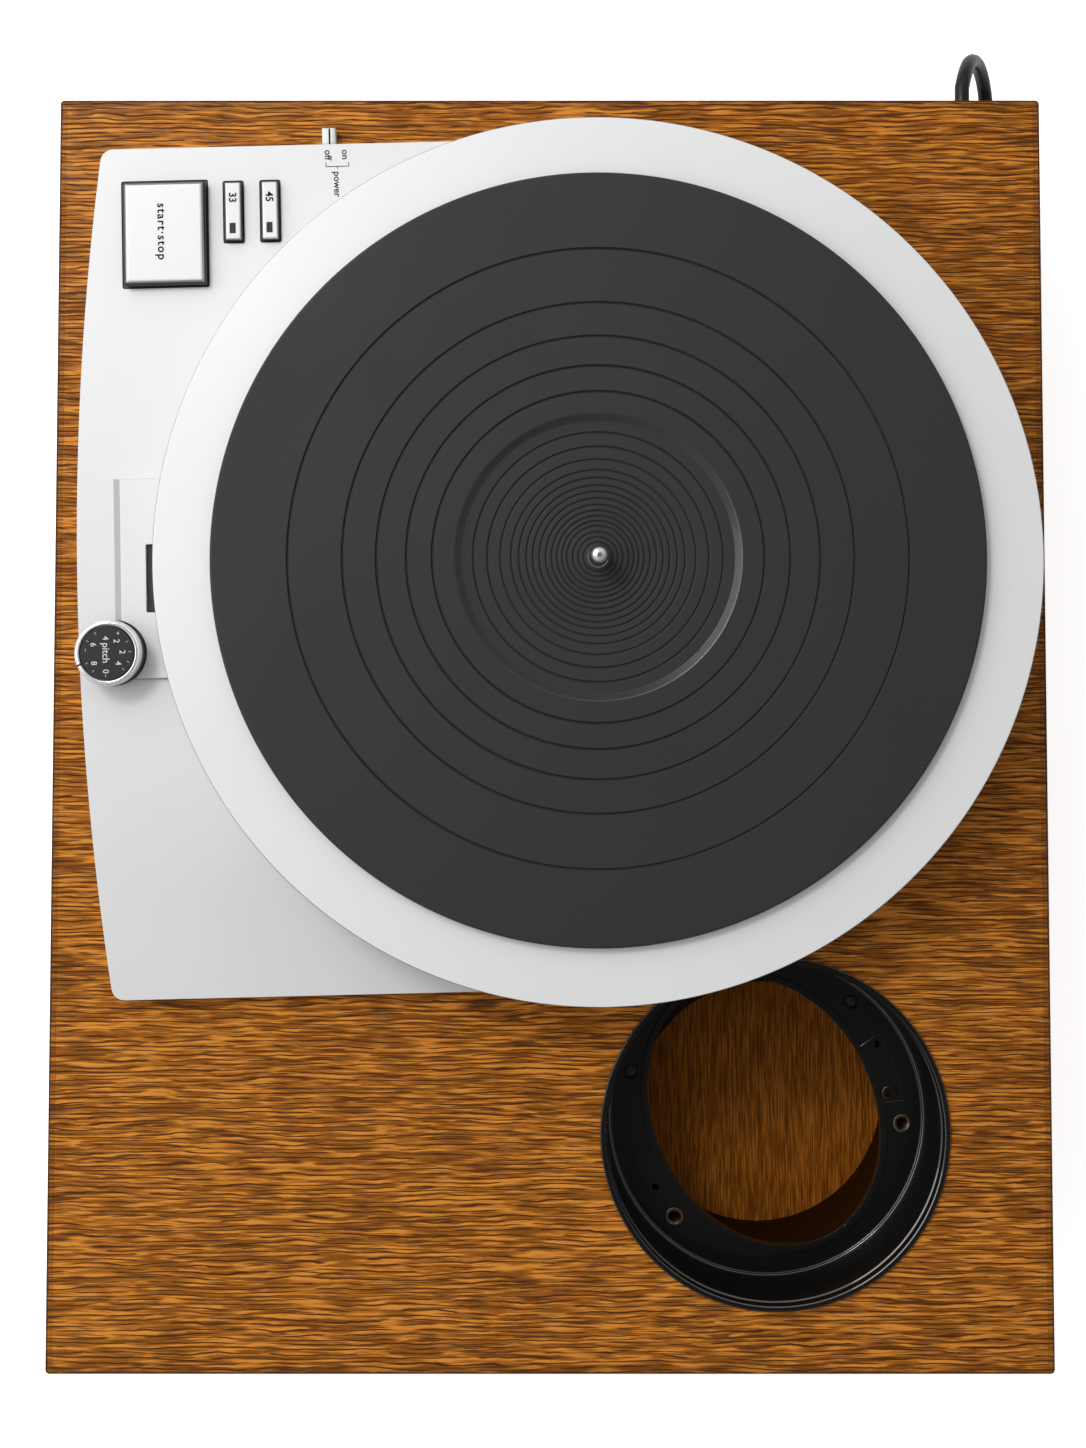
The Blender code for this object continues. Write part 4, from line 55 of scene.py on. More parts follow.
def rounded(corners, steps=6):
    outline = []
    for i, (x, y, radius) in enumerate(corners):
        here = Vector((x, y))
        if not radius:
            outline.append((x, y))
            continue
        before = (Vector(corners[i - 1][:2]) - here).normalized()
        after = (Vector(corners[(i + 1) % len(corners)][:2]) - here).normalized()
        half = before.angle(after) / 2
        centre = here + (before + after).normalized() * (radius / math.sin(half))
        first = here + before * (radius / math.tan(half)) - centre
        last = here + after * (radius / math.tan(half)) - centre
        start = math.atan2(first.y, first.x)
        sweep = (math.atan2(last.y, last.x) - start + math.pi) % (2 * math.pi) - math.pi
        for step in range(steps + 1):
            angle = start + sweep * step / steps
            outline.append((centre.x + radius * math.cos(angle), centre.y + radius * math.sin(angle)))
    return outline


def rectangle(length, width, radius=0, at=(0, 0)):
    x, y, a, b = at[0], at[1], length / 2, width / 2
    return rounded([
        (x - a, y - b, radius), (x + a, y - b, radius), (x + a, y + b, radius), (x - a, y + b, radius)
    ])


def circle(radius, at=(0, 0), steps=48):
    turn = 2 * math.pi / steps
    return [(at[0] + radius * math.cos(i * turn), at[1] + radius * math.sin(i * turn)) for i in range(steps)]


def onCircle(radius, angle):
    return radius * math.cos(math.radians(angle)), radius * math.sin(math.radians(angle))


def addMesh(mesh, name="trial"):
    thing = bpy.data.objects.new(name, mesh)
    bpy.context.scene.collection.objects.link(thing)
    return thing


def settle(thing):
    graph = bpy.context.evaluated_depsgraph_get()
    mesh = bpy.data.meshes.new_from_object(thing.evaluated_get(graph))
    bpy.data.objects.remove(thing)
    return mesh


def prism(outlines, bottom, top):
    curve = bpy.data.curves.new("outline", "CURVE")
    curve.dimensions = "2D"
    curve.fill_mode = "BOTH"
    curve.extrude = (top - bottom) / 2
    for outline in outlines:
        spline = curve.splines.new("POLY")
        spline.points.add(len(outline) - 1)
        for point, (x, y) in zip(spline.points, outline):
            point.co = (x, y, 0, 1)
        spline.use_cyclic_u = True
    mesh = settle(addMesh(curve))
    shape = bmesh.new()
    shape.from_mesh(mesh)
    bmesh.ops.remove_doubles(shape, verts=shape.verts, dist=0.000001)
    bmesh.ops.translate(shape, verts=shape.verts, vec=(0, 0, (top + bottom) / 2))
    bmesh.ops.recalc_face_normals(shape, faces=shape.faces)
    shape.to_mesh(mesh)
    shape.free()
    return mesh


def slab(x, y, z):
    return prism([[(x[0], y[0]), (x[1], y[0]), (x[1], y[1]), (x[0], y[1])]], *z)


def closed(shape):
    bmesh.ops.recalc_face_normals(shape, faces=shape.faces)
    mesh = bpy.data.meshes.new("closed")
    shape.to_mesh(mesh)
    shape.free()
    return mesh


# A closed profile of (radius, height) turned about Z
def lathe(profile, steps=96):
    shape = bmesh.new()
    rings = []
    for radius, height in profile:
        if radius < 1e-7:
            rings.append([shape.verts.new((0, 0, height))] * steps)
        else:
            rings.append([shape.verts.new((x, y, height)) for x, y in circle(radius, steps=steps)])
    for upper, lower in zip(rings, rings[1:] + rings[:1]):
        for i in range(steps):
            j = (i + 1) % steps
            corners = list(dict.fromkeys((upper[i], lower[i], lower[j], upper[j])))
            if len(corners) > 2:
                shape.faces.new(corners)
    return closed(shape)


# Outlines of as many points each, stacked at their heights and closed at both ends
def loft(layers):
    shape = bmesh.new()
    rings = [[shape.verts.new((x, y, z)) for x, y in outline] for outline, z in layers]
    for low, high in zip(rings, rings[1:]):
        for i in range(len(low)):
            j = (i + 1) % len(low)
            shape.faces.new((low[i], low[j], high[j], high[i]))
    shape.faces.new(rings[0])
    shape.faces.new(rings[-1])
    return closed(shape)


def bevelled(mesh, width, segments=3, topOnly=False):
    thing = addMesh(mesh)
    change = thing.modifiers.new("bevel", "BEVEL")
    change.width = width
    change.segments = segments
    change.limit_method = "ANGLE"
    change.angle_limit = math.radians(40)
    if topOnly:
        change.limit_method = "WEIGHT"
        level = max(vertex.co.z for vertex in mesh.vertices) - hair
        weights = mesh.attributes.new("bevel_weight_edge", "FLOAT", "EDGE")
        for edge in mesh.edges:
            low = min(mesh.vertices[i].co.z for i in edge.vertices)
            weights.data[edge.index].value = 1.0 if low > level else 0.0
    return settle(thing)


def combined(mesh, tools, operation="DIFFERENCE"):
    for tool in tools:
        thing, other = addMesh(mesh), addMesh(tool)
        change = thing.modifiers.new("join", "BOOLEAN")
        change.operation = operation
        change.solver = "MANIFOLD"
        change.object = other
        mesh = settle(thing)
        bpy.data.objects.remove(other)
    return mesh


def moved(mesh, x=0, y=0, z=0, turn=None):
    if turn:
        mesh.transform(turn)
    mesh.transform(Matrix.Translation((x, y, z)))
    return mesh


def merged(meshes):
    shape = bmesh.new()
    for mesh in meshes:
        shape.from_mesh(mesh)
    mesh = bpy.data.meshes.new("merged")
    shape.to_mesh(mesh)
    shape.free()
    return mesh


# Rides on the plinth and lies in the motor unit's place, unless the call says otherwise
def addPiece(name, mesh, material, replaces=None, smooth=32, body="plinth_unit", place=unitPlace):
    mesh.materials.clear()
    mesh.materials.append(finish[material])
    if place:
        mesh.transform(place)
    if smooth:
        mesh.shade_smooth()
        mesh.set_sharp_from_angle(angle=math.radians(smooth))
        thing = addMesh(mesh)
        even = thing.modifiers.new("even", "WEIGHTED_NORMAL")
        even.keep_sharp = True
        mesh = settle(thing)
    piece = addMesh(mesh, name)
    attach(piece, body)
    if replaces:
        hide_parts(replaces)
    return piece


# Gives another material to the faces whose centre, in the given place, and normal pass the test
def paintFaces(piece, material, place, test):
    piece.data.materials.append(finish[material])
    back = place.inverted()
    for face in piece.data.polygons:
        if test(back @ face.center, face.normal):
            face.material_index = len(piece.data.materials) - 1


# ---- materials

# A number in a shader tree. Sums and products of it become Math nodes.
class Value:
    def __init__(self, tree, socket):
        self.tree = tree
        self.socket = socket

    def math(self, operation, other=0.0, clamp=False):
        settings = {"operation": operation, "use_clamp": clamp}
        return Value(self.tree, addNode(self.tree, "Math", settings, i0=self, i1=other).outputs[0])

    def remap(self, low, high, toLow=0.0, toHigh=1.0, smooth=False):
        settings = {"interpolation_type": "SMOOTHSTEP"} if smooth else {}
        made = addNode(self.tree, "MapRange", settings, i0=self, i1=low, i2=high, i3=toLow, i4=toHigh)
        return Value(self.tree, made.outputs[0])

    def __add__(self, other):
        return self.math("ADD", other)

    def __sub__(self, other):
        return self.math("SUBTRACT", other)

    def __mul__(self, other):
        return self.math("MULTIPLY", other)

    def __gt__(self, other):
        return self.math("GREATER_THAN", other)

    def __abs__(self):
        return self.math("ABSOLUTE")


# Sets or links a node's inputs, by name or by number (i0, i1 and so on)
def feed(tree, made, **inputs):
    for key, value in inputs.items():
        numbered = key[0] == "i" and key[1:].isdigit()
        socket = made.inputs[int(key[1:]) if numbered else key.replace("_", " ")]
        if isinstance(value, Value):
            value = value.socket
        if isinstance(value, bpy.types.NodeSocket):
            tree.links.new(value, socket)
        else:
            socket.default_value = value


def addNode(tree, kind, settings=None, **inputs):
    made = tree.nodes.new("ShaderNode" + kind)
    for key, value in (settings or {}).items():
        setattr(made, key, value)
    feed(tree, made, **inputs)
    return made


def blendColours(tree, factor, a, b, mode="MIX"):
    return addNode(tree, "Mix", {"data_type": "RGBA", "blend_type": mode}, i0=factor, i6=a, i7=b).outputs[2]


def noise(tree, vector, scale, detail=3.0, roughness=0.5):
    made = addNode(tree, "TexNoise", None, Vector=vector, Scale=scale, Detail=detail, Roughness=roughness)
    return Value(tree, made.outputs[0])


def stretch(tree, vector, factors):
    return addNode(tree, "VectorMath", {"operation": "MULTIPLY"}, i0=vector, i1=factors).outputs[0]


def split(tree, vector):
    return [Value(tree, socket) for socket in addNode(tree, "SeparateXYZ", None, i0=vector).outputs]


def objectSpace(tree, centre=(0, 0, 0)):
    vector = addNode(tree, "TexCoord").outputs["Object"]
    if any(centre):
        vector = addNode(tree, "VectorMath", {"operation": "SUBTRACT"}, i0=vector, i1=centre).outputs[0]
    return vector


def bump(tree, height, strength, distance):
    return addNode(tree, "Bump", None, Height=height, Strength=strength, Distance=distance).outputs[0]


def newMaterial(name, colour, roughness, metallic=0.0, **sockets):
    material = bpy.data.materials.new(name)
    material.use_nodes = True
    tree = material.node_tree
    shader = tree.nodes["Principled BSDF"]
    feed(tree, shader, Base_Color=(*colour, 1), Roughness=roughness, Metallic=metallic, **sockets)
    return material, tree, shader


# The noises of the grain: stretch along the fibres, scale, detail, roughness. Lines are counted per metre.
grainForm = {
    "tone": (0.10, 45.0, 2.0, 0.5), "coarse": (0.08, 720.0, 1.0, 0.5), "fine": (0.06, 1350.0, 2.0, 0.6),
    "broken": (0.16, 460.0, 1.0, 0.5), "thin": (0.06, 760.0, 1.0, 0.5), "lines": 560, "drift": 11.5,
    "warps": (((14, 60, 60), 0.0036), ((75, 200, 200), 0.0013)), "driftSpread": (24, 120, 120),
}


# Wavy fibres along the group's X: a slow tone, fibres, and rows of broken dark lines that follow them
def makeWoodGroup():
    group = bpy.data.node_groups.new("woodGrain", "ShaderNodeTree")
    group.interface.new_socket("Vector", in_out="INPUT", socket_type="NodeSocketVector")
    for name in ("Tone", "Fibres", "Pores"):
        group.interface.new_socket(name, in_out="OUTPUT", socket_type="NodeSocketFloat")
    enter = group.nodes.new("NodeGroupInput").outputs[0]
    leave = group.nodes.new("NodeGroupOutput")
    warped = enter
    for spread, reach in grainForm["warps"]:
        wander = addNode(group, "TexNoise", None, Vector=stretch(group, enter, spread), Scale=1.0, Detail=2.0)
        shift = stretch(group, wander.outputs[1], (0, reach, reach))
        warped = addNode(group, "VectorMath", {"operation": "ADD"}, i0=warped, i1=shift).outputs[0]

    def streaks(name):
        along, *rest = grainForm[name]
        return noise(group, stretch(group, warped, (along, 1, 1)), *rest)

    fibres = (streaks("coarse") * 0.6 + streaks("fine") * 0.4).remap(0.40, 0.60)
    _, y, z = split(group, warped)
    drift = noise(group, stretch(group, enter, grainForm["driftSpread"]), 1.0, 1.0) * grainForm["drift"]
    wave = ((y + z) * (2 * math.pi * grainForm["lines"]) + drift).math("SINE")
    lines = wave.remap(0.42, 0.94, smooth=True) * streaks("broken").remap(0.36, 0.48)
    pores = lines.math("MAXIMUM", streaks("thin").remap(0.60, 0.68) * 0.8)
    feed(group, leave, i0=streaks("tone"), i1=fibres, i2=pores)
    return group


woodGroup = makeWoodGroup()


def grainOf(tree, vector):
    made = tree.nodes.new("ShaderNodeGroup")
    made.node_tree = woodGroup
    feed(tree, made, i0=vector)
    return [Value(tree, socket) for socket in made.outputs]


# Colours are dark, middle, light and pore
def woodColour(tree, grain, colours, lines):
    tone, fibres, pores = grain
    dark, middle, light, pore = ((*colour, 1) for colour in colours)
    ramp = addNode(tree, "ValToRGB", None, Fac=tone * 0.2 + fibres * 0.8)
    stops = ramp.color_ramp.elements
    stops[0].position, stops[0].color = 0.15, dark
    stops[1].position, stops[1].color = 0.85, light
    stops.new(0.50).color = middle
    return blendColours(tree, pores * lines, ramp.outputs[0], pore)


oak = {
    "colours": ((0.27, 0.087, 0.010), (0.44, 0.150, 0.0175), (0.77, 0.290, 0.039), (0.066, 0.019, 0.0025)),
    "inside": ((0.25, 0.074, 0.005), (0.40, 0.122, 0.010), (0.58, 0.19, 0.018), (0.12, 0.033, 0.003)),
    # The varnish colour also serves the painted shade, which grows towards the back
    "varnishAndShade": (0.22, 0.080, 0.016), "patches": 0.10, "shadeTowardsBack": 0.18,
    "edge": (0.060, 0.022, 0.008), "edgeWidth": 0.0024, "edgeLine": 0.0007, "ragged": 0.0012,
}


# Veneer on every outer face. Its grain runs along Y, and along X on the faces that look front and back.
def makeVeneer():
    material, tree, shader = newMaterial("oak", oak["colours"][1], 0.30, Specular_IOR_Level=0.12)
    place = objectSpace(tree)
    x, y, z = split(tree, place)
    lookY = abs(split(tree, addNode(tree, "NewGeometry").outputs["Normal"])[1]) > 0.7
    alongY = addNode(tree, "CombineXYZ", None, X=y, Y=x, Z=z).outputs[0]
    vector = addNode(tree, "Mix", {"data_type": "VECTOR"}, i0=lookY, i4=alongY, i5=place).outputs[1]
    grain = grainOf(tree, vector)
    _, fibres, pores = grain
    colour = woodColour(tree, grain, oak["colours"], 0.95)

    # Broad patches of darker varnish at random, and painted shade that darkens it more towards the back
    half = plinth["width"] / 2
    patches = noise(tree, place, 7.0, 2.0).remap(0.35, 0.70, 0.0, oak["patches"])
    # Painted shade: the colour darkens towards the back
    patches = patches + y.remap(-half, half, 0.0, oak["shadeTowardsBack"])
    colour = blendColours(tree, patches, colour, (*oak["varnishAndShade"], 1), "MULTIPLY")

    # Darker edges of the top and darker vertical corners, with a joint line beside them
    width, line = oak["edgeWidth"], oak["edgeLine"]
    pastX = abs(x) - (plinth["length"] / 2 - width)
    pastY = abs(y) - (half - width)
    ragged = (noise(tree, place, 160.0, 3.0) - 0.5) * oak["ragged"]
    past = pastX.math("MAXIMUM", pastY) + ragged
    strip = past.remap(0.0, line / 2) * 0.35
    joint = abs(past).remap(0.0, line / 2, 1.0, 0.0) * 0.6
    outer = past.remap(width - line * 1.6, width - line * 0.8)
    rim = strip.math("MAXIMUM", joint).math("MAXIMUM", outer)
    high = (z + ragged).remap(plinth["top"] - line * 2, plinth["top"] - line)
    corner = (pastX.math("MINIMUM", pastY) + ragged).remap(width - line * 2, width - line)
    darkEdges = (rim * high).math("MAXIMUM", corner) * 0.85
    feed(
        tree, shader, Base_Color=blendColours(tree, darkEdges, colour, (*oak["edge"], 1)),
        Roughness=fibres.remap(0.3, 0.7, 0.30, 0.42) + pores * 0.25,
        Normal=bump(tree, fibres * 0.25 - pores, 0.6, 0.00025),
    )
    return material


def makeInnerWood(name, shade):
    material, tree, shader = newMaterial(name, (0.16, 0.06, 0.016), 0.5, Specular_IOR_Level=0.06)
    grain = grainOf(tree, stretch(tree, objectSpace(tree), (1.2, 1.5, 1.5)))
    colours = [tuple(c * shade for c in colour) for colour in oak["inside"]]
    relief = bump(tree, grain[1] - grain[2], 0.4, 0.0002)
    feed(tree, shader, Base_Color=woodColour(tree, grain, colours, 0.5), Normal=relief)
    return material


def tints(colour, low, high):
    return (*(c * low for c in colour), 1), (*(min(c * high, 1.0) for c in colour), 1)


# A finish with fine speckle in its roughness and relief, and slow changes of tone
def makeFinish(name, colour, roughness, metallic, grain, relief, depth, spread, tone, **sockets):
    material, tree, shader = newMaterial(name, colour, roughness, metallic, **sockets)
    place = objectSpace(tree)
    speckle = noise(tree, place, grain, 2.0, 0.6)
    broad = noise(tree, place, 14.0)
    shade = (broad - 0.5) * (tone * 2) + (speckle - 0.5) * tone
    feed(
        tree, shader, Base_Color=blendColours(tree, shade.math("ADD", 0.5, True), *tints(colour, 0.6, 1.4)),
        Roughness=broad.remap(0.3, 0.7, roughness - spread, roughness + spread),
        Normal=bump(tree, speckle, relief, depth),
    )
    return material


# Turned metal: fine rings about the platter's axis
def makeTurned(name, colour, roughness, metallic, rings, relief):
    material, tree, shader = newMaterial(name, colour, roughness, metallic)
    place = objectSpace(tree, tuple(unitPlace.translation))
    away = addNode(tree, "VectorMath", {"operation": "LENGTH"}, i0=stretch(tree, place, (1, 1, 0)))
    along = Value(tree, away.outputs["Value"]) * rings
    made = addNode(tree, "TexNoise", {"noise_dimensions": "1D"}, W=along, Scale=1.0, Detail=3.0)
    ring = Value(tree, made.outputs[0])
    shade = ring * 0.5 + noise(tree, place, 11.0, 2.0) * 0.5
    feed(
        tree, shader, Base_Color=blendColours(tree, shade, *tints(colour, 0.93, 1.06)),
        Roughness=ring.remap(0.3, 0.7, roughness - 0.04, roughness + 0.05),
        Normal=bump(tree, ring, relief, 0.00003),
    )
    return material


# Colour, roughness, metallic, rings per metre, relief
turned = {
    "platterSilver": ((0.885, 0.887, 0.887), 0.46, 0.25, 2600.0, 0.08),
    "chrome": ((0.80, 0.80, 0.81), 0.07, 1.0, 900.0, 0.01),
    "ringChrome": ((0.93, 0.93, 0.935), 0.10, 0.78, 900.0, 0.01),
}
# Colour, roughness, metallic, then the speckle's scale, strength and depth, and how far
# roughness and tone vary
finishes = {
    "deckSilver": ((0.848, 0.85, 0.853), 0.50, 0.25, 5200.0, 0.10, 0.00003, 0.03, 0.05),
    "buttonSilver": ((0.79, 0.792, 0.795), 0.46, 0.30, 5200.0, 0.08, 0.00002, 0.03, 0.04),
    "shadedBandSilver": ((0.46, 0.462, 0.465), 0.40, 0.35, 5200.0, 0.10, 0.00003, 0.03, 0.05),
    "capEdgePolishAndShade": ((0.42, 0.422, 0.425), 0.24, 0.9, 5200.0, 0.06, 0.00002, 0.03, 0.05),
    "shadedEdgeSilver": ((0.26, 0.262, 0.265), 0.40, 0.35, 5200.0, 0.10, 0.00003, 0.03, 0.05),
    "matSheenAndShade": ((0.007, 0.007, 0.0073), 0.30, 0.0, 2600.0, 0.12, 0.00004, 0.06, 0.10),
    "matRubber": ((0.0165, 0.0165, 0.017), 0.62, 0.0, 2600.0, 0.22, 0.00006, 0.06, 0.10),
    "collarBlack": ((0.0026, 0.0028, 0.0030), 0.36, 0.0, 1500.0, 0.16, 0.00006, 0.06, 0.35),
    "collarEdge": ((0.010, 0.0105, 0.011), 0.22, 0.0, 1500.0, 0.06, 0.00003, 0.04, 0.20),
    "blackPlastic": ((0.014, 0.014, 0.015), 0.42, 0.0, 2400.0, 0.12, 0.00004, 0.05, 0.12),
    "dialBlack": ((0.0085, 0.0085, 0.009), 0.55, 0.0, 5000.0, 0.15, 0.00003, 0.04, 0.12),
    "footRubber": ((0.020, 0.020, 0.020), 0.72, 0.0, 1800.0, 0.25, 0.00010, 0.06, 0.15),
    "cordBlack": ((0.007, 0.007, 0.0075), 0.30, 0.0, 1400.0, 0.08, 0.00005, 0.05, 0.10),
    "brass": ((0.17, 0.125, 0.09), 0.32, 1.0, 2500.0, 0.10, 0.00003, 0.08, 0.20),
    "plugBrass": ((0.66, 0.50, 0.26), 0.24, 1.0, 2500.0, 0.06, 0.00002, 0.05, 0.10),
    "bronze": ((0.42, 0.26, 0.13), 0.45, 1.0, 4000.0, 0.2, 0.00004, 0.06, 0.15),
    "steel": ((0.52, 0.52, 0.53), 0.34, 1.0, 2200.0, 0.08, 0.00003, 0.08, 0.10),
    "screwSteel": ((0.05, 0.05, 0.053), 0.40, 1.0, 2200.0, 0.08, 0.00003, 0.08, 0.15),
    "castFrame": ((0.50, 0.50, 0.51), 0.52, 0.9, 900.0, 0.35, 0.00015, 0.08, 0.10),
    "magnetDark": ((0.055, 0.055, 0.06), 0.5, 0.2, 2000.0, 0.2, 0.00005, 0.06, 0.15),
    "copper": ((0.60, 0.24, 0.09), 0.32, 0.9, 1800.0, 0.25, 0.00012, 0.06, 0.20),
    "boardGreen": ((0.045, 0.15, 0.07), 0.40, 0.0, 1500.0, 0.06, 0.00003, 0.05, 0.20),
    "trayGrey": ((0.11, 0.11, 0.12), 0.48, 0.5, 1500.0, 0.1, 0.00005, 0.06, 0.10),
    "nylon": ((0.72, 0.69, 0.60), 0.45, 0.0, 1500.0, 0.05, 0.00003, 0.05, 0.06),
    "smokeLens": ((0.060, 0.062, 0.058), 0.14, 0.0, 1200.0, 0.02, 0.00002, 0.03, 0.10),
    "lampGlass": ((0.75, 0.40, 0.18), 0.12, 0.0, 1200.0, 0.02, 0.00002, 0.03, 0.05),
    "inkBlack": ((0.010, 0.010, 0.011), 0.65, 0.0, 3000.0, 0.05, 0.00001, 0.04, 0.10),
    "inkWhite": ((0.78, 0.78, 0.78), 0.50, 0.0, 3000.0, 0.05, 0.00001, 0.04, 0.04),
}
gloss = {
    "matSheenAndShade": {"Specular_IOR_Level": 1.0},
    "collarBlack": {"Specular_IOR_Level": 0.22, "Coat_Weight": 0.2, "Coat_Roughness": 0.12},
    "collarEdge": {"Specular_IOR_Level": 0.9, "Coat_Weight": 1.0, "Coat_Roughness": 0.07, "Coat_IOR": 1.9},
    "cordBlack": {"Specular_IOR_Level": 0.3},
    "smokeLens": {"Coat_Weight": 0.6},
    "inkBlack": {"Specular_IOR_Level": 0.15},
}
finish = {
    "oak": makeVeneer(), "oakInside": makeInnerWood("oakInside", 0.74),
    # The arm block's bore wall is near black: painted shade of the deep bore
    "shadedOakBlock": makeInnerWood("shadedOakBlock", 0.05),
}
for name, row in turned.items():
    finish[name] = makeTurned(name, *row)
for name, row in finishes.items():
    finish[name] = makeFinish(name, *row, **gloss.get(name, {}))
print("materials made")

dressing = {
    "oak": ("plinth_top", "plinth_front", "plinth_back", "plinth_left", "plinth_right"),
    "oakInside": ("plinth_floor",),
    "shadedOakBlock": ("arm_block",),
    "blackPlastic": (
        "button_frame", "start_switch", "speed_33_switch", "speed_45_switch", "power_switch", "strobe_housing"
    ),
    "trayGrey": ("chassis_tray",),
    "castFrame": ("motor_frame",),
    "steel": ("stator_core", "bearing_housing", "bearing_cap", "transformer_core", "pitch_pot", "rotor_yoke"),
    "copper": ("stator_windings", "transformer_coil"),
    "bronze": ("upper_bush", "lower_bush"),
    "nylon": ("thrust_pad",),
    "boardGreen": ("main_board", "switch_board"),
    "lampGlass": ("strobe_lamp",),
    "magnetDark": ("rotor_magnet",),
}
for material, names in dressing.items():
    for name in names:
        nodes[name].data.materials.clear()
        nodes[name].data.materials.append(finish[material])


# ---- camera and light

view = {"lens": 48.0, "height": 0.859, "x": -0.0224, "y": -0.0027, "tilt": 2.78, "shift": -0.1026}
# Lights have a place, a size and a power. The world is a ramp over height, brighter on the lights' side.
light = {
    "key": ((-0.8, -1.45, 1.5), (2.8, 2.2), 26), "accent": ((-0.78, -0.75, 1.55), (0.4, 0.3), 6.5),
    "target": (0, 0, 0.1), "side": (-0.40, -0.38, 0), "level": 0.97, "world": 0.68,
    "seen": (1.5, 1.5, 1.5, 1),
    "ramp": (
        (0.0, (0.16, 0.16, 0.165, 1)), (0.98, (0.22, 0.22, 0.22, 1)), (0.45, (1.0, 1.0, 1.0, 1)),
        (0.82, (0.85, 0.85, 0.85, 1)),
    ),
    "floorReach": 6.0, "floorGlow": 0.69,
}


def addCamera():
    data = bpy.data.cameras.new("camera")
    data.sensor_fit = "VERTICAL"
    data.sensor_height = 36
    data.lens = view["lens"]
    data.shift_y = view["shift"]
    camera = addMesh(data, "camera")
    camera.location = (view["x"], view["y"], view["height"])
    # The picture's right is +Y and its top is -X
    tilt = math.radians(view["tilt"])
    right = Vector((0, 1, 0))
    back = Vector((math.sin(tilt), 0, math.cos(tilt)))
    camera.rotation_euler = Matrix((right, back.cross(right), back)).transposed().to_euler()
    bpy.context.scene.camera = camera


def addArea(name):
    location, size, power = light[name]
    data = bpy.data.lights.new(name, "AREA")
    data.shape = "RECTANGLE"
    data.size, data.size_y = size
    data.energy = power
    lamp = addMesh(data, name)
    lamp.location = location
    lamp.rotation_euler = (Vector(light["target"]) - Vector(location)).to_track_quat("-Z", "Y").to_euler()


def addWorld():
    world = bpy.data.worlds.new("studio")
    world.use_nodes = True
    tree = world.node_tree
    direction = addNode(tree, "TexCoord").outputs["Generated"]
    ramp = addNode(tree, "ValToRGB", None, Fac=split(tree, direction)[2])
    stops = ramp.color_ramp.elements
    first, last, *between = light["ramp"]
    stops[0].position, stops[0].color = first
    stops[1].position, stops[1].color = last
    for height, colour in between:
        stops.new(height).color = colour
    side = addNode(tree, "VectorMath", {"operation": "DOT_PRODUCT"}, i0=direction, i1=light["side"])
    strength = Value(tree, side.outputs["Value"]) + light["level"]
    lit = addNode(tree, "VectorMath", {"operation": "SCALE"}, i0=ramp.outputs[0], Scale=strength).outputs[0]
    seen = blendColours(tree, addNode(tree, "LightPath").outputs["Is Camera Ray"], lit, light["seen"])
    feed(tree, tree.nodes["Background"], Color=seen, Strength=light["world"])
    bpy.context.scene.world = world


def addFloor():
    data = bpy.data.meshes.new("floor")
    corners = ((-1, -1), (1, -1), (1, 1), (-1, 1))
    data.from_pydata(
        [(x * light["floorReach"], y * light["floorReach"], 0) for x, y in corners], [], [(0, 1, 2, 3)]
    )
    material, tree, shader = newMaterial("floor", (0.92, 0.92, 0.92), 0.9, Emission_Color=(1, 1, 1, 1))
    # Past white to the camera, so that only a soft shadow is left in it
    glow = Value(tree, addNode(tree, "LightPath").outputs["Is Camera Ray"]) * light["floorGlow"]
    feed(tree, shader, Emission_Strength=glow)
    data.materials.append(material)
    addMesh(data, "floor")


addCamera()
addWorld()
addFloor()
addArea("key")
addArea("accent")
bpy.context.scene.view_settings.view_transform = "Standard"
print("camera and light placed")


# ---- mains cord

cord = {
    "diameter": 0.0062, "nose": -0.2616, "glandY": 0.1745, "glandZ": 0.0532,
    "coilX": -0.105, "coilY": 0.118, "low": 0.0040, "middle": 0.03434, "turns": 3, "pitch": 0.00667,
    "perTurn": 36, "spacing": 0.0062,
    "lead": (
        (-0.2752, 0.1768, 0.0490), (-0.2815, 0.1797, 0.0430), (-0.2853, 0.1834, 0.0350),
        (-0.2862, 0.1872, 0.0268), (-0.2840, 0.1909, 0.0183), (-0.2790, 0.1939, 0.0108),
        (-0.2710, 0.1957, 0.0058), (-0.2600, 0.1964, 0.0042), (-0.2450, 0.1964, 0.0040),
        (-0.2280, 0.1958, 0.0040), (-0.2110, 0.1942, 0.0040), (-0.1950, 0.1908, 0.0040),
        (-0.1800, 0.1859, 0.0040), (-0.1655, 0.1800, 0.0040), (-0.1510, 0.1736, 0.0040),
        (-0.1365, 0.1676, 0.0040),
    ),
    "tail": (
        (-0.1370, 0.0736, 0.0084), (-0.1500, 0.0720, 0.0060), (-0.1630, 0.0680, 0.0044),
        (-0.1745, 0.0610, 0.0040), (-0.1835, 0.0510, 0.0040), (-0.1890, 0.0390, 0.0040),
        (-0.1910, 0.0260, 0.0040), (-0.1895, 0.0130, 0.0040), (-0.1845, 0.0010, 0.0040),
        (-0.1765, -0.0090, 0.0040), (-0.1655, -0.0155, 0.0044), (-0.1530, -0.0185, 0.0055),
    ),
    "end": (-0.1400, -0.0190, 0.0062),
}


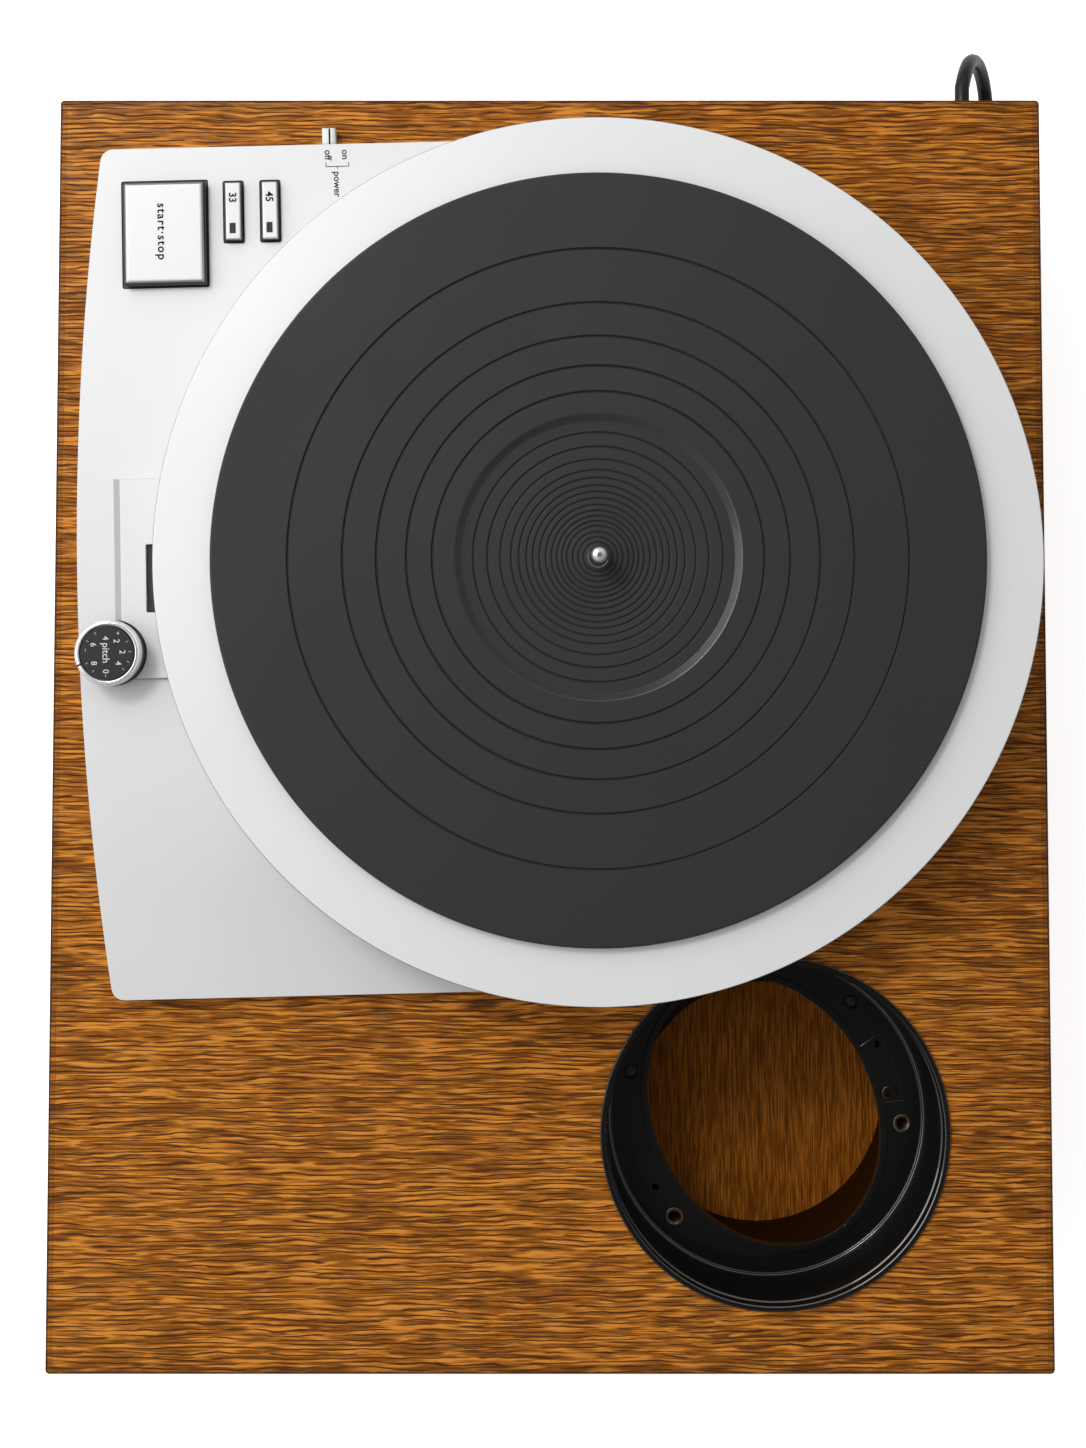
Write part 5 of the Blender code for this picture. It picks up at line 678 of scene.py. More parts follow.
# Even points on a smooth curve through the route. Its first and last stretch stay straight.
def alongRoute(route, spacing):
    knots = [Vector(point) for point in route]
    fine = []
    for a, b, c, d in zip(knots, knots[1:], knots[2:], knots[3:]):
        for step in range(24):
            t = step / 24
            fine.append(0.5 * (
                2 * b + (c - a) * t + (2 * a - 5 * b + 4 * c - d) * t ** 2
                + (3 * b - a - 3 * c + d) * t ** 3
            ))
    fine.append(knots[-2])
    lengths = [0]
    for here, there in zip(fine, fine[1:]):
        lengths.append(lengths[-1] + (there - here).length)
    count = round(lengths[-1] / spacing)
    points, at = [], 0
    for number in range(count + 1):
        wanted = lengths[-1] * number / count
        while at < len(fine) - 2 and lengths[at + 1] < wanted:
            at += 1
        points.append(
            fine[at].lerp(fine[at + 1], min((wanted - lengths[at]) / (lengths[at + 1] - lengths[at]), 1))
        )
    return [knots[0]] + points + [knots[-1]]


# Two layers of turns: in along the floor, up at the reversal, and out on top
def coilPoint(turns):
    pitch, ring = cord["pitch"], cord["turns"]
    outer = cord["middle"] + pitch * ring / 2
    inner = cord["middle"] - pitch * ring / 2
    if turns <= ring:
        radius, level = outer - pitch * turns, cord["low"]
    elif turns <= ring + 0.5:
        share = (turns - ring) * 2
        radius = inner - pitch / (2 * math.pi) * math.sin(math.pi * share)
        level = cord["low"] + pitch * share * share * (3 - 2 * share)
    else:
        radius, level = inner + pitch * (turns - ring - 0.5), cord["low"] + pitch
    x, y = onCircle(radius, 90 - 360 * turns)
    return Vector((cord["coilX"] + x, cord["coilY"] + y, level))


def makeCord():
    straight = Vector((cord["diameter"], 0, 0))
    count = round((2 * cord["turns"] + 0.5) * cord["perTurn"])
    coil = [coilPoint(number / cord["perTurn"]) for number in range(count + 1)]
    first, last = coil[0] - straight, coil[-1] - straight
    start = Vector((cord["nose"], cord["glandY"], cord["glandZ"]))
    end = Vector(cord["end"])
    lead = alongRoute([start, start - straight, *cord["lead"], first - straight, first], cord["spacing"])
    tail = alongRoute([last, last - straight, *cord["tail"], end - straight, end], cord["spacing"])
    points = lead + coil + tail
    curve = bpy.data.curves.new("mainsCord", "CURVE")
    curve.dimensions = "3D"
    curve.bevel_depth = cord["diameter"] / 2
    curve.bevel_resolution = 5
    curve.use_fill_caps = True
    spline = curve.splines.new("POLY")
    spline.points.add(len(points) - 1)
    for knot, point in zip(spline.points, points):
        knot.co = (*point, 1)
    spline.use_smooth = True
    curve.materials.append(finish["cordBlack"])
    piece = addMesh(curve, "mainsCord")
    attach(piece, "plinth_unit")
    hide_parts("cord_lead", "cord_coil", "cord_tail")
    length = sum((b - a).length for a, b in zip(points, points[1:]))
    print("cord length", round(length, 4))
    return piece, start


cordPiece, cordStart = makeCord()

gland = {
    "hole": 0.0047, "flange": 0.0072, "sheet": 0.0016, "nose": 0.0153, "tip": 0.0037, "root": 0.0047,
    "board": 0.012, "flutes": 6, "flute": 0.0004, "clip": 0.0056,
}


def makeGland():
    g = gland
    out = gap + g["sheet"]
    corners = [(0, g["nose"], 0), (g["tip"], g["nose"], 0.0006)]
    step = (g["nose"] - out) / g["flutes"]
    for i in range(g["flutes"]):
        radius = g["tip"] + (g["root"] - g["tip"]) * i / g["flutes"]
        level = g["nose"] - step * i
        corners += [
            (radius, level - step * 0.55, 0.0003), (radius - g["flute"], level - step * 0.65, 0),
            (radius - g["flute"], level - step * 0.9, 0), (radius + 0.0001, level - step, 0.0002),
        ]
    inside = -g["board"] - gap
    corners += [
        (g["root"], out, 0), (g["flange"], out, 0.0007), (g["flange"], gap, 0), (g["hole"], gap, 0),
        (g["hole"], inside, 0), (g["clip"], inside, 0), (g["clip"], inside - g["sheet"], 0.0004),
        (0, inside - g["sheet"], 0),
    ]
    turn = Matrix.Translation(
        (-plinth["length"] / 2, cord["glandY"], cord["glandZ"])
    ) @ Matrix.Rotation(math.radians(-90), 4, "Y")
    return addPiece(
        "strainRelief", lathe(rounded(corners, 3), 40), "blackPlastic", "cord_gland",
        place=turn,
    )


plug = {
    "length": 0.030, "width": 0.022, "thick": 0.0122, "neck": 0.008, "shoulder": 0.010, "floor": 0.0001,
    "round": 0.0024, "blade": (0.017, 0.0063, 0.0015), "spread": 0.0127,
    "ribs": (4, 0.003, 0.0032, 0.0012, 0.0016), "hole": (0.0016, 0.0022),
}


def makePlug():
    x, y, _ = cord["end"]
    back = x + gap
    shoulder, front = back + plug["shoulder"], back + plug["length"]
    half, neck = plug["width"] / 2, plug["neck"] / 2
    outline = rounded([
        (back, y - neck, 0.001), (shoulder, y - half, 0.005), (front, y - half, 0.002),
        (front, y + half, 0.002), (shoulder, y + half, 0.005), (back, y + neck, 0.001),
    ])
    body = bevelled(prism([outline], plug["floor"], plug["floor"] + plug["thick"]), plug["round"], 4)
    # Grip ribs across both sides of the body
    count, start, step, length, width = plug["ribs"]
    ribs = []
    for i in range(count):
        at = shoulder + start + i * step
        for side in (-1, 1):
            ribs.append(prism([rectangle(length, width, 0, (at, y + side * half))], -0.01, 0.03))
    body = combined(body, ribs)
    middle = plug["floor"] + plug["thick"] / 2
    blades = []
    length, wide, sheet = plug["blade"]
    for side, name in ((-1, "right"), (1, "left")):
        outline = rectangle(length + 0.005, wide, 0.0012, (0, 0))
        radius, inset = plug["hole"]
        hole = circle(radius, (length / 2 - inset, 0), 24)
        blade = bevelled(prism([outline, hole], -sheet / 2, sheet / 2), 0.0003, 2)
        turn = Matrix.Translation(
            (front + length / 2 - 0.0026, y + side * plug["spread"] / 2, middle)
        ) @ Matrix.Rotation(math.radians(90), 4, "X")
        blades.append(
            addPiece(f"plugBlade_{name}", blade, "plugBrass", f"plug_blade_{name}", place=turn)
        )
    return addPiece("plugBody", body, "blackPlastic", "plug_body", place=None), blades


tie = {"sheet": 0.0005, "width": 0.005, "floor": 0.0001, "clear": 0.0006}


def makeTie():
    half = cord["diameter"] / 2
    quarter = cord["pitch"] / 4
    inner = cord["middle"] - cord["pitch"] * cord["turns"] / 2 + quarter - half - tie["clear"]
    outer = cord["middle"] + cord["pitch"] * cord["turns"] / 2 - 3 * quarter + half + tie["clear"]
    low = tie["floor"]
    high = cord["low"] + cord["pitch"] + half + tie["clear"] + tie["sheet"]
    sheet = tie["sheet"]
    outside = rounded(
        [
            (outer + sheet, low, 0.0028), (outer + sheet, high, 0.0028), (inner - sheet, high, 0.0028),
            (inner - sheet, low, 0.0028),
        ]
    )
    inside = rounded(
        [
            (outer, low + sheet, 0.0023), (outer, high - sheet, 0.0023), (inner, high - sheet, 0.0023),
            (inner, low + sheet, 0.0023),
        ]
    )
    band = bevelled(prism([outside, inside], -tie["width"] / 2, tie["width"] / 2), 0.0001, 2)
    turn = Matrix.Translation((cord["coilX"], cord["coilY"], 0)) @ Matrix(
        ((-1, 0, 0, 0), (0, 0, 1, 0), (0, 1, 0, 0), (0, 0, 0, 1))
    )
    return addPiece("cordTie", band, "blackPlastic", "cord_tie", place=turn)


glandPiece = makeGland()
plugPiece, bladePieces = makePlug()
tiePiece = makeTie()
print("cord laid")


# ---- plinth fittings

feet = {
    "radius": 0.019, "taper": 0.002, "groove": 0.0012, "grooveAt": 0.010, "grooveHalf": (0.002, 0.0008),
    "x": 0.2135, "y": 0.160, "hollow": (0.0085, 0.0075, 0.0045),
}


def makeFeet():
    high, radius, middle = plinth["foot"] - gap, feet["radius"], feet["grooveAt"]
    root, (wide, narrow) = radius - feet["groove"], feet["grooveHalf"]
    mouth, hollow, depth = feet["hollow"]
    corners = [
        (0, high, 0), (radius, high, 0.0006), (radius, middle + wide, 0.0005),
        (root, middle + narrow, 0.0004), (root, middle - narrow, 0.0004), (radius, middle - wide, 0.0006),
        (radius - feet["taper"], 0, 0.0012), (mouth, 0, 0.0006), (hollow, depth, 0.0005), (0, depth, 0),
    ]
    for side, x in (("left", -1), ("right", 1)):
        for end, y in (("front", -1), ("back", 1)):
            place = Matrix.Translation((x * feet["x"], y * feet["y"], 0))
            addPiece(
                f"foot_{end}_{side}_rubber", lathe(rounded(corners, 4), 64), "footRubber",
                f"foot_{end}_{side}", place=place,
            )


# A cross-head screw, its head's top at height 0
def screwHead(radius, height, sunk=False):
    slope = radius * 0.55 if sunk else radius * 0.95
    corners = [
        (0, 0, 0), (radius * 0.9, -height * 0.12, height * 0.1), (radius, -height * 0.5, 0),
        (slope, -height, 0), (0, -height, 0),
    ]
    head = lathe(rounded(corners, 3), 32)
    slots = [
        prism([rectangle(radius * 1.15, radius * 0.26)], -height * 0.55, height),
        prism([rectangle(radius * 0.26, radius * 1.15)], -height * 0.55, height),
    ]
    return combined(head, slots)


# Lays copies of one mesh on points, turned about Z, through a Geometry Nodes tree
def scattered(name, points, mesh, material):
    source = addMesh(mesh, name + "Source")
    cloud = bpy.data.meshes.new(name + "Points")
    cloud.from_pydata([point[:3] for point in points], [], [])
    turns = cloud.attributes.new("turn", "FLOAT", "POINT")
    for item, point in zip(turns.data, points):
        item.value = point[3]
    tree = bpy.data.node_groups.new(name + "Tree", "GeometryNodeTree")
    tree.interface.new_socket("Geometry", in_out="INPUT", socket_type="NodeSocketGeometry")
    sourceSocket = tree.interface.new_socket("Source", in_out="INPUT", socket_type="NodeSocketObject")
    finishSocket = tree.interface.new_socket("Finish", in_out="INPUT", socket_type="NodeSocketMaterial")
    tree.interface.new_socket("Geometry", in_out="OUTPUT", socket_type="NodeSocketGeometry")
    enter = tree.nodes.new("NodeGroupInput")
    leave = tree.nodes.new("NodeGroupOutput")
    info = tree.nodes.new("GeometryNodeObjectInfo")
    turn = tree.nodes.new("GeometryNodeInputNamedAttribute")
    turn.data_type = "FLOAT"
    turn.inputs["Name"].default_value = "turn"
    vector = tree.nodes.new("ShaderNodeCombineXYZ")
    lay = tree.nodes.new("GeometryNodeInstanceOnPoints")
    real = tree.nodes.new("GeometryNodeRealizeInstances")
    dress = tree.nodes.new("GeometryNodeSetMaterial")
    link = tree.links.new
    link(enter.outputs["Geometry"], lay.inputs["Points"])
    link(enter.outputs["Source"], info.inputs["Object"])
    link(info.outputs["Geometry"], lay.inputs["Instance"])
    link(turn.outputs["Attribute"], vector.inputs["Z"])
    link(vector.outputs[0], lay.inputs["Rotation"])
    link(lay.outputs["Instances"], real.inputs["Geometry"])
    link(real.outputs["Geometry"], dress.inputs["Geometry"])
    link(enter.outputs["Finish"], dress.inputs["Material"])
    link(dress.outputs["Geometry"], leave.inputs["Geometry"])
    thing = addMesh(cloud, name)
    change = thing.modifiers.new("scatter", "NODES")
    change.node_group = tree
    change[sourceSocket.identifier] = source
    change[finishSocket.identifier] = finish[material]
    result = settle(thing)
    bpy.data.objects.remove(source)
    return result


floorScrews = {
    "first": (-0.19, -0.165), "step": (0.095, 0.11), "count": (5, 4), "level": plinth["foot"] - 0.0002,
    "head": (0.0034, 0.0016),
}


def makeFloorScrews():
    (startX, startY), (stepX, stepY) = floorScrews["first"], floorScrews["step"]
    columns, rows = floorScrews["count"]
    points = []
    for i in range(columns):
        for j in range(rows):
            if i in (0, columns - 1) or j in (0, rows - 1):
                points.append(
                    (startX + i * stepX, startY + j * stepY, floorScrews["level"], 0.4 * i + 0.7 * j)
                )
    head = moved(screwHead(*floorScrews["head"], True), turn=Matrix.Rotation(math.pi, 4, "X"))
    mesh = scattered("floorScrews", points, head, "screwSteel")
    addPiece("floorScrewHeads", mesh, "screwSteel", place=None)


makeFeet()
makeFloorScrews()
print("plinth dressed")


# ---- arm collar

collar = {
    "rim": 0.0672, "rimWidth": 0.0023, "rimHeight": 0.0011, "rimRound": 0.0008, "stepDepth": 0.0030,
    "step": 0.0007, "depth": 0.031, "floorRadius": 0.0629, "wall": 0.0018, "flange": 0.003,
    "mouth": (0.0550, 0.0440), "mouthAngle": 27, "mouthShift": 0.0020, "lip": 0.0024, "lipHeight": 0.0012,
    "lipRound": 0.0010, "padHeight": 0.0008, "padEdge": 0.0555,
    "padSpans": ((96, 126), (-74, -50)), "inserts": {"back": 86.7, "front": -42.7}, "insertCircle": 0.0544,
    "insertRadius": 0.0037, "insertBore": 0.0021, "screws": (142.6, -107.9), "screwCircle": 0.0568,
    "screwRadius": 0.0019, "headRadius": 0.0031, "headDepth": 0.0016, "headChamfer": 0.0005,
    "boss": (0.0499, 100.4, 0.0034, 0.0016, 0.0010),
    "pilots": ((0.0524, 122.4), (0.0524, -57.7)), "pilotRadius": 0.0014,
}


def mouthOutline(inset, steps=120):
    shiftX, shiftY = onCircle(collar["mouthShift"], collar["mouthAngle"] + 180)
    c, s = onCircle(1, collar["mouthAngle"])
    outline = []
    for i in range(steps):
        x, y = onCircle(1, 360 * i / steps)
        x, y = x * (collar["mouth"][0] - inset), y * (collar["mouth"][1] - inset)
        outline.append((shiftX + x * c - y * s, shiftY + x * s + y * c))
    return outline


def sector(inner, outer, start, end, steps=10):
    turns = [start + (end - start) * i / steps for i in range(steps + 1)]
    return [onCircle(outer, t) for t in turns] + [onCircle(inner, t) for t in reversed(turns)]


def makeCollar():
    c = collar
    top, floor = gap + c["rimHeight"], -c["depth"]
    rimInner = c["rim"] - c["rimWidth"]
    stepRadius = rimInner - c["step"]
    body = rimInner + c["wall"]
    under = floor - c["flange"]
    root = c["mouth"][1] - c["mouthShift"] - 0.002
    profile = rounded([
        (c["rim"], top, c["rimRound"]), (c["rim"], gap, 0.0002), (body, gap, 0), (body, under, 0.0004),
        (root, under, 0), (root, floor, 0), (c["floorRadius"] - 0.0012, floor, 0),
        (c["floorRadius"] - 0.0009, floor + 0.0005, 0.0003), (c["floorRadius"], floor + 0.0006, 0.0004),
        (stepRadius, -c["stepDepth"] - c["step"], 0.0006), (rimInner, -c["stepDepth"], 0.0004),
        (rimInner, top, c["rimRound"]),
    ], 3)
    ring = lathe(profile, 192)
    ringIn = floor - c["flange"] / 2
    below, high = under - 0.002, floor + 0.004
    mouth = prism([mouthOutline(0)], below, high)
    ring = combined(ring, [prism([mouthOutline(-c["lip"] / 2)], below, high)])
    lip = bevelled(
        prism([mouthOutline(-c["lip"]), mouthOutline(0)], under + 0.0002, floor + c["lipHeight"]),
        c["lipRound"], 5, True,
    )
    pads = []
    for start, end in c["padSpans"]:
        outline = sector(c["mouth"][1] - 0.002, c["padEdge"], start, end)
        pad = bevelled(prism([outline], ringIn, floor + c["padHeight"]), 0.0003, 2, True)
        pads.append(combined(pad, [mouth.copy()]))
    circleAt, angle, radius, hole, height = c["boss"]
    bossTop = floor + c["padHeight"] + height
    boss = lathe(
        rounded([(0, bossTop, 0), (radius * 0.86, bossTop, 0.0004), (radius, ringIn, 0), (0, ringIn, 0)], 3),
        40,
    )
    boss = moved(boss, *onCircle(circleAt, angle))
    ring = combined(ring, [lip, *pads, boss], "UNION")

    holes = [(circleAt, angle, hole)]
    holes += [(*pilot, c["pilotRadius"]) for pilot in c["pilots"]]
    holes += [(c["screwCircle"], turn, c["screwRadius"]) for turn in c["screws"]]
    holes += [(c["insertCircle"], turn, c["insertRadius"] + gap / 2) for turn in c["inserts"].values()]
    cutters = [prism([circle(r, onCircle(where, turn), 32)], below, high) for where, turn, r in holes]
    for turn in c["screws"]:
        head, chamfer, bottom = c["headRadius"], c["headChamfer"], floor - c["headDepth"]
        wide = head + chamfer
        well = lathe(
            [(0, high), (wide, high), (wide, floor), (head, floor - chamfer), (head, bottom), (0, bottom)], 36
        )
        cutters.append(moved(well, *onCircle(c["screwCircle"], turn)))
    ring = combined(ring, cutters)
    moulding = addPiece(
        "collarMoulding", ring, "collarBlack", "arm_collar", 28, place=armPlace
    )
    paintFaces(moulding, "collarEdge", armPlace, lambda centre, normal: 0.2 < normal.z < 0.96)

    # A brass insert: a turned bush with a chamfered, threaded-looking bore
    high = floor + 0.0007
    corners = [(c["insertRadius"], high, 0.0003), (c["insertRadius"], under, 0), (c["insertBore"], under, 0)]
    for i in range(6):
        level = under + (high - 0.0006 - under) * (i + 1) / 7
        corners += [(c["insertBore"] + 0.0002, level, 0), (c["insertBore"], level + 0.00022, 0)]
    corners += [(c["insertBore"], high - 0.0006, 0), (c["insertBore"] + 0.0006, high, 0.0001)]
    for end, turn in c["inserts"].items():
        place = armPlace @ Matrix.Translation((*onCircle(c["insertCircle"], turn), 0))
        addPiece(
            f"threadedInsert_{end}", lathe(rounded(corners, 2), 40), "brass", f"collar_insert_{end}",
            place=place,
        )

    points = [(*onCircle(c["screwCircle"], turn), floor - 0.0006, turn) for turn in c["screws"]]
    heads = scattered("collarScrews", points, screwHead(c["headRadius"] - 0.0011, 0.0010), "screwSteel")
    addPiece("collarScrewHeads", heads, "screwSteel", place=armPlace)


makeCollar()
print("collar made")


# ---- deck

deck = {
    "half": 0.1644, "front": 0.2003, "bow": 0.0117, "rear": 0.158, "corner": 0.005, "shift": -0.001,
    "top": 0.006, "sheet": 0.003, "skirt": 0.003, "edge": 0.0013, "motor": 0.0705,
    "pad": (-0.0365, 0.0415, -0.1858, -0.158), "padTop": 0.008, "padSlope": 0.0028, "padEnd": 0.0007,
    "strobe": (0.00245, -0.1692, 0.0263, 0.0084), "pitch": (0.0309, -0.1862), "pitchHole": 0.0050,
    "seat": 0.0128, "leverSlot": (-0.1034, -0.0903),
}
keys = {
    "start": {
        "at": (-0.1315, -0.1643), "size": (0.0391, 0.0307), "rise": 0.005, "gap": 0.0016, "edge": 0.0020,
        "grow": 0.0009,
    },
    "speed_33": {
        "at": (-0.1396, -0.1376), "size": (0.0226, 0.0062), "rise": 0.003, "gap": 0.00105, "edge": 0.0011,
        "grow": 0.0005,
    },
}
keys["speed_45"] = {**keys["speed_33"], "at": (-0.1396, -0.1233)}


def deckOutline(inset, bowSteps=48, rearSteps=96):
    half = deck["half"] - inset
    corners = []
    for step in range(bowSteps + 1):
        across = 2 * step / bowSteps - 1
        y = -(deck["front"] - inset - deck["bow"] * across ** 2)
        corners.append(
            (deck["shift"] + half * across, y, max(deck["corner"] - inset, 0) if step in (0, bowSteps) else 0)
        )
    for step in range(rearSteps + 1):
        x, y = onCircle(1, 180 * step / rearSteps)
        corners.append((deck["shift"] + x * half, y * (deck["rear"] - inset), 0))
    return rounded(corners)


def makeDeck():
    plate = bevelled(prism([deckOutline(0)], gap, deck["top"]), deck["edge"], 4, True)
    left, right, front, rear = deck["pad"]
    low = deck["sheet"] + gap
    rise = deck["padTop"] - deck["top"]
    pad = slab((left, right), (front, rear), (low, deck["padTop"]))
    for vertex in pad.vertices:
        up = (vertex.co.z - deck["top"]) / rise
        vertex.co.x += up * (deck["padEnd"] if vertex.co.x < 0 else -deck["padEnd"])
        if vertex.co.y < (front + rear) / 2:
            vertex.co.y += up * deck["padSlope"]
    pad = bevelled(pad, 0.00012, 2, True)
    plate = combined(plate, [pad], "UNION")
    cuts = [(deckOutline(deck["skirt"]), -0.002, deck["sheet"])]
    for key in keys.values():
        length, width = (side + 2 * key["gap"] for side in key["size"])
        cuts.append((rectangle(length, width, 0.0009, key["at"]), 0, above))
    x, y, length, width = deck["strobe"]
    cuts += [
        (rectangle(length, width, 0.0006, (x, y)), 0, above),
        (circle(deck["pitchHole"], deck["pitch"]), 0, above),
        (circle(deck["seat"], deck["pitch"], 96), deck["top"], above),
        (circle(deck["motor"], steps=96), 0, above),
    ]
    edge = deck["shift"] - deck["half"]
    slot = slab((edge - 0.002, edge + 0.005), deck["leverSlot"], (-0.002, low))
    plate = combined(plate, [*(prism([outline], *span) for outline, *span in cuts), slot])
    shell = addPiece("deckShell", plate, "deckSilver", "deck_plate", 26)

    # The pad's sloping front and its end beside the arm are a satin band painted darker as shade
    def onShadedBand(centre, normal):
        atFront = left < centre.x < right + hair and front - hair < centre.y < front + deck["padSlope"] + hair
        atEnd = right - deck["padEnd"] - hair < centre.x < right + hair and front < centre.y < rear
        return centre.z > deck["top"] and (atFront or atEnd) and 0.2 < normal.z < 0.95

    # The walls of the key openings are painted black as shade
    def inOpeningShade(centre, normal):
        for key in keys.values():
            length, width = (side / 2 + key["gap"] + hair for side in key["size"])
            near = abs(centre.x - key["at"][0]) < length and abs(centre.y - key["at"][1]) < width
            if near and abs(normal.z) < 0.2:
                return True
        return False

    paintFaces(shell, "shadedBandSilver", unitPlace, onShadedBand)
    paintFaces(shell, "blackPlastic", unitPlace, inOpeningShade)


makeDeck()
print("deck made")


# ---- lettering

def lettering(text, size, weight, spacing):
    curve = bpy.data.curves.new("letters", "FONT")
    curve.body = text
    curve.size = size
    curve.align_x = "CENTER"
    curve.align_y = "CENTER"
    curve.space_character = spacing
    curve.extrude = 0.00004
    curve.offset = weight
    curve.resolution_u = 3
    return settle(addMesh(curve))


# Size and added weight of each kind of lettering
fonts = {
    "start": (0.0047, 0.00009), "speed": (0.0041, 0.00009), "power": (0.0038, 0.00005),
    "pitch": (0.0039, 0.00002), "number": (0.0032, 0.00001), "sign": (0.0022, 0.0),
}


# Rows of text, x, y and kind
def addLetters(name, rows, level, material, body="plinth_unit", spacing=1.0):
    meshes = [moved(lettering(text, *fonts[kind], spacing), x, y, level) for text, x, y, kind in rows]
    addPiece(name, merged(meshes), material, smooth=None, body=body)


startAt = keys["start"]["at"]
lever = {
    "y": -0.1001, "width": 0.0053, "reach": 0.0068, "top": 0.0052, "bar": (0.0006, 0.0026), "travel": 0.0065,
    "tongue": (-0.1465, -0.1435, -0.0034), "line": 0.0007,
}
deckTop = deck["top"] + 0.00002

words = [("start·stop", startAt[0], startAt[1] - 0.0005, "start")]
addLetters("startWords", words, deckTop + keys["start"]["rise"], "inkBlack", "start_key", 1.18)
for speed in ("33", "45"):
    x, y = keys["speed_" + speed]["at"]
    words = [(speed, x - 0.0050, y, "speed")]
    addLetters(
        f"speedWords{speed}", words, deckTop + keys["speed_33"]["rise"], "inkBlack", f"speed_{speed}_key"
    )
words = [
    ("off", -0.1612, lever["y"] - 0.0004, "power"),
    ("on", -0.1612, lever["y"] + lever["travel"] - 0.0002, "power"),
    ("power", -0.1496, lever["y"] + 0.0030, "power"),
]
addLetters("powerWords", words, deckTop, "inkBlack")


def makePowerBracket():
    low, high = lever["y"] - 0.0012, lever["y"] + lever["travel"] + 0.0012
    line, x, arm, tip = 0.00028, -0.1566, 0.0016, 0.0010
    middle = (low + high) / 2
    bars = [
        rectangle(line, high - low, 0, (x, middle)), rectangle(arm, line, 0, (x - arm / 2, low)),
        rectangle(arm, line, 0, (x - arm / 2, high)), rectangle(tip, line, 0, (x + tip / 2, middle)),
    ]
    mesh = merged([prism([bar], deckTop - 0.00002, deckTop + 0.00003) for bar in bars])
    addPiece("powerBracket", mesh, "inkBlack", smooth=None)


makePowerBracket()


# ---- keys, lever and strobe

# A speed key's window: its place along the cap, its length and width
speedWindow = (0.0070, 0.0037, 0.0020)
stem = {
    "radius": 0.0017, "bottom": -0.0038, "lipTop": 0.0002, "lip": 0.0009, "base": -0.0009, "grown": 0.0074,
}


# Above the deck the cap reaches a little further to the back and the arm. Its top edge is rounded.
def makeKey(key):
    length, width = key["size"]
    top, edge, grow = deck["top"] + key["rise"], key["edge"], key["grow"]

    def outline(reach):
        return rectangle(length + reach, width + reach, 0.0005, (grow / 2, grow / 2) if reach else (0, 0))

    layers = [(outline(0), stem["base"]), (outline(0), stem["grown"]), (outline(grow), stem["grown"] + gap)]
    for step in range(5):
        x, z = onCircle(edge, 90 * step / 4)
        layers.append((outline(grow - 2 * (edge - x)), top - edge + z))
    cap = loft(layers)
    lips = prism([rectangle(length + 2 * stem["lip"], width)], stem["base"], stem["lipTop"])
    post = lathe(
        [
            (0, stem["lipTop"]), (stem["radius"], stem["lipTop"]), (stem["radius"], stem["bottom"]),
            (0, stem["bottom"]),
        ],
        24,
    )
    cap = combined(cap, [lips, post], "UNION")
    return moved(cap, *key["at"])


# A cap's rounded edge gets a darker polished colour near its top, and the walls under it are painted black:
# painted shade of the edge and sides
def paintCapShade(cap, key):
    level = deck["top"] + key["rise"] - key["edge"]
    paintFaces(cap, "capEdgePolishAndShade", unitPlace, lambda centre, normal: centre.z > level and 0.7 < normal.z < 0.95)
    paintFaces(
        cap, "blackPlastic", unitPlace,
        lambda centre, normal: centre.z > stem["lipTop"] and abs(normal.z) < 0.7,
    )


def makeKeys():
    cap = addPiece(
        "startCap", makeKey(keys["start"]), "buttonSilver", "start_button", 28,
        body="start_key",
    )
    paintCapShade(cap, keys["start"])
    for name in ("speed_33", "speed_45"):
        key = keys[name]
        x, y = key["at"]
        top = deck["top"] + key["rise"]
        along, length, width = speedWindow
        hole = prism(
            [rectangle(length + 0.0004, width + 0.0004, 0.0002, (x + along, y))], top - 0.0010, above
        )
        cap = combined(makeKey(key), [hole])
        cap = addPiece(
            name + "_cap", cap, "buttonSilver", name + "_button", 28, body=name + "_key"
        )
        paintCapShade(cap, key)
        window = prism([rectangle(length, width, 0.0002, (x + along, y))], top - 0.0008, top - 0.0001)
        window = bevelled(window, 0.00012, 2, True)
        addPiece(name + "_window", window, "dialBlack", name + "_lens", 28, body=name + "_key")


def makeLever():
    edge = deck["shift"] - deck["half"]
    half = lever["width"] / 2
    low, high = lever["bar"]
    across = (-half, half)
    knob = bevelled(slab((edge - lever["reach"], edge - gap), across, (low, lever["top"])), 0.0006, 3, True)
    left, right, bottom = lever["tongue"]
    bar = slab((edge - lever["reach"] / 2, right), across, (low, high))
    tongue = slab((left, right), across, (bottom, high))
    middle = (edge - lever["reach"] / 2, 0.0003)
    groove = prism([rectangle(lever["reach"] * 2, lever["line"], 0, middle)], lever["top"] - 0.0006, above)
    mesh = combined(combined(knob, [bar, tongue], "UNION"), [groove])
    addPiece(
        "powerKnob", moved(mesh, 0, lever["y"]), "buttonSilver", "power_lever", 28,
        body="power_key",
    )
    outline = rectangle(lever["reach"] - 0.0008, lever["line"], 0, middle)
    line = prism([outline], lever["top"] - 0.0007, lever["top"] - 0.0002)
    addPiece(
        "powerLine", moved(line, 0, lever["y"]), "inkBlack", smooth=None,
        body="power_key",
    )


def makeStrobe():
    x, y, length, width = deck["strobe"]
    top = deck["padTop"] - 0.0018
    lipTop, lipBottom = deck["sheet"] - gap, deck["sheet"] - gap - 0.0015
    window = bevelled(
        prism([rectangle(length - 0.0006, width - 0.0006, 0.0004, (x, y))], lipBottom, top), 0.0003, 2, True
    )
    lip = prism([rectangle(length + 0.003, width + 0.003, 0, (x, y))], lipBottom, lipTop)
    addPiece("strobeWindow", combined(window, [lip], "UNION"), "smokeLens", "strobe_lens", 28)


makeKeys()
makeLever()
makeStrobe()
print("keys made")


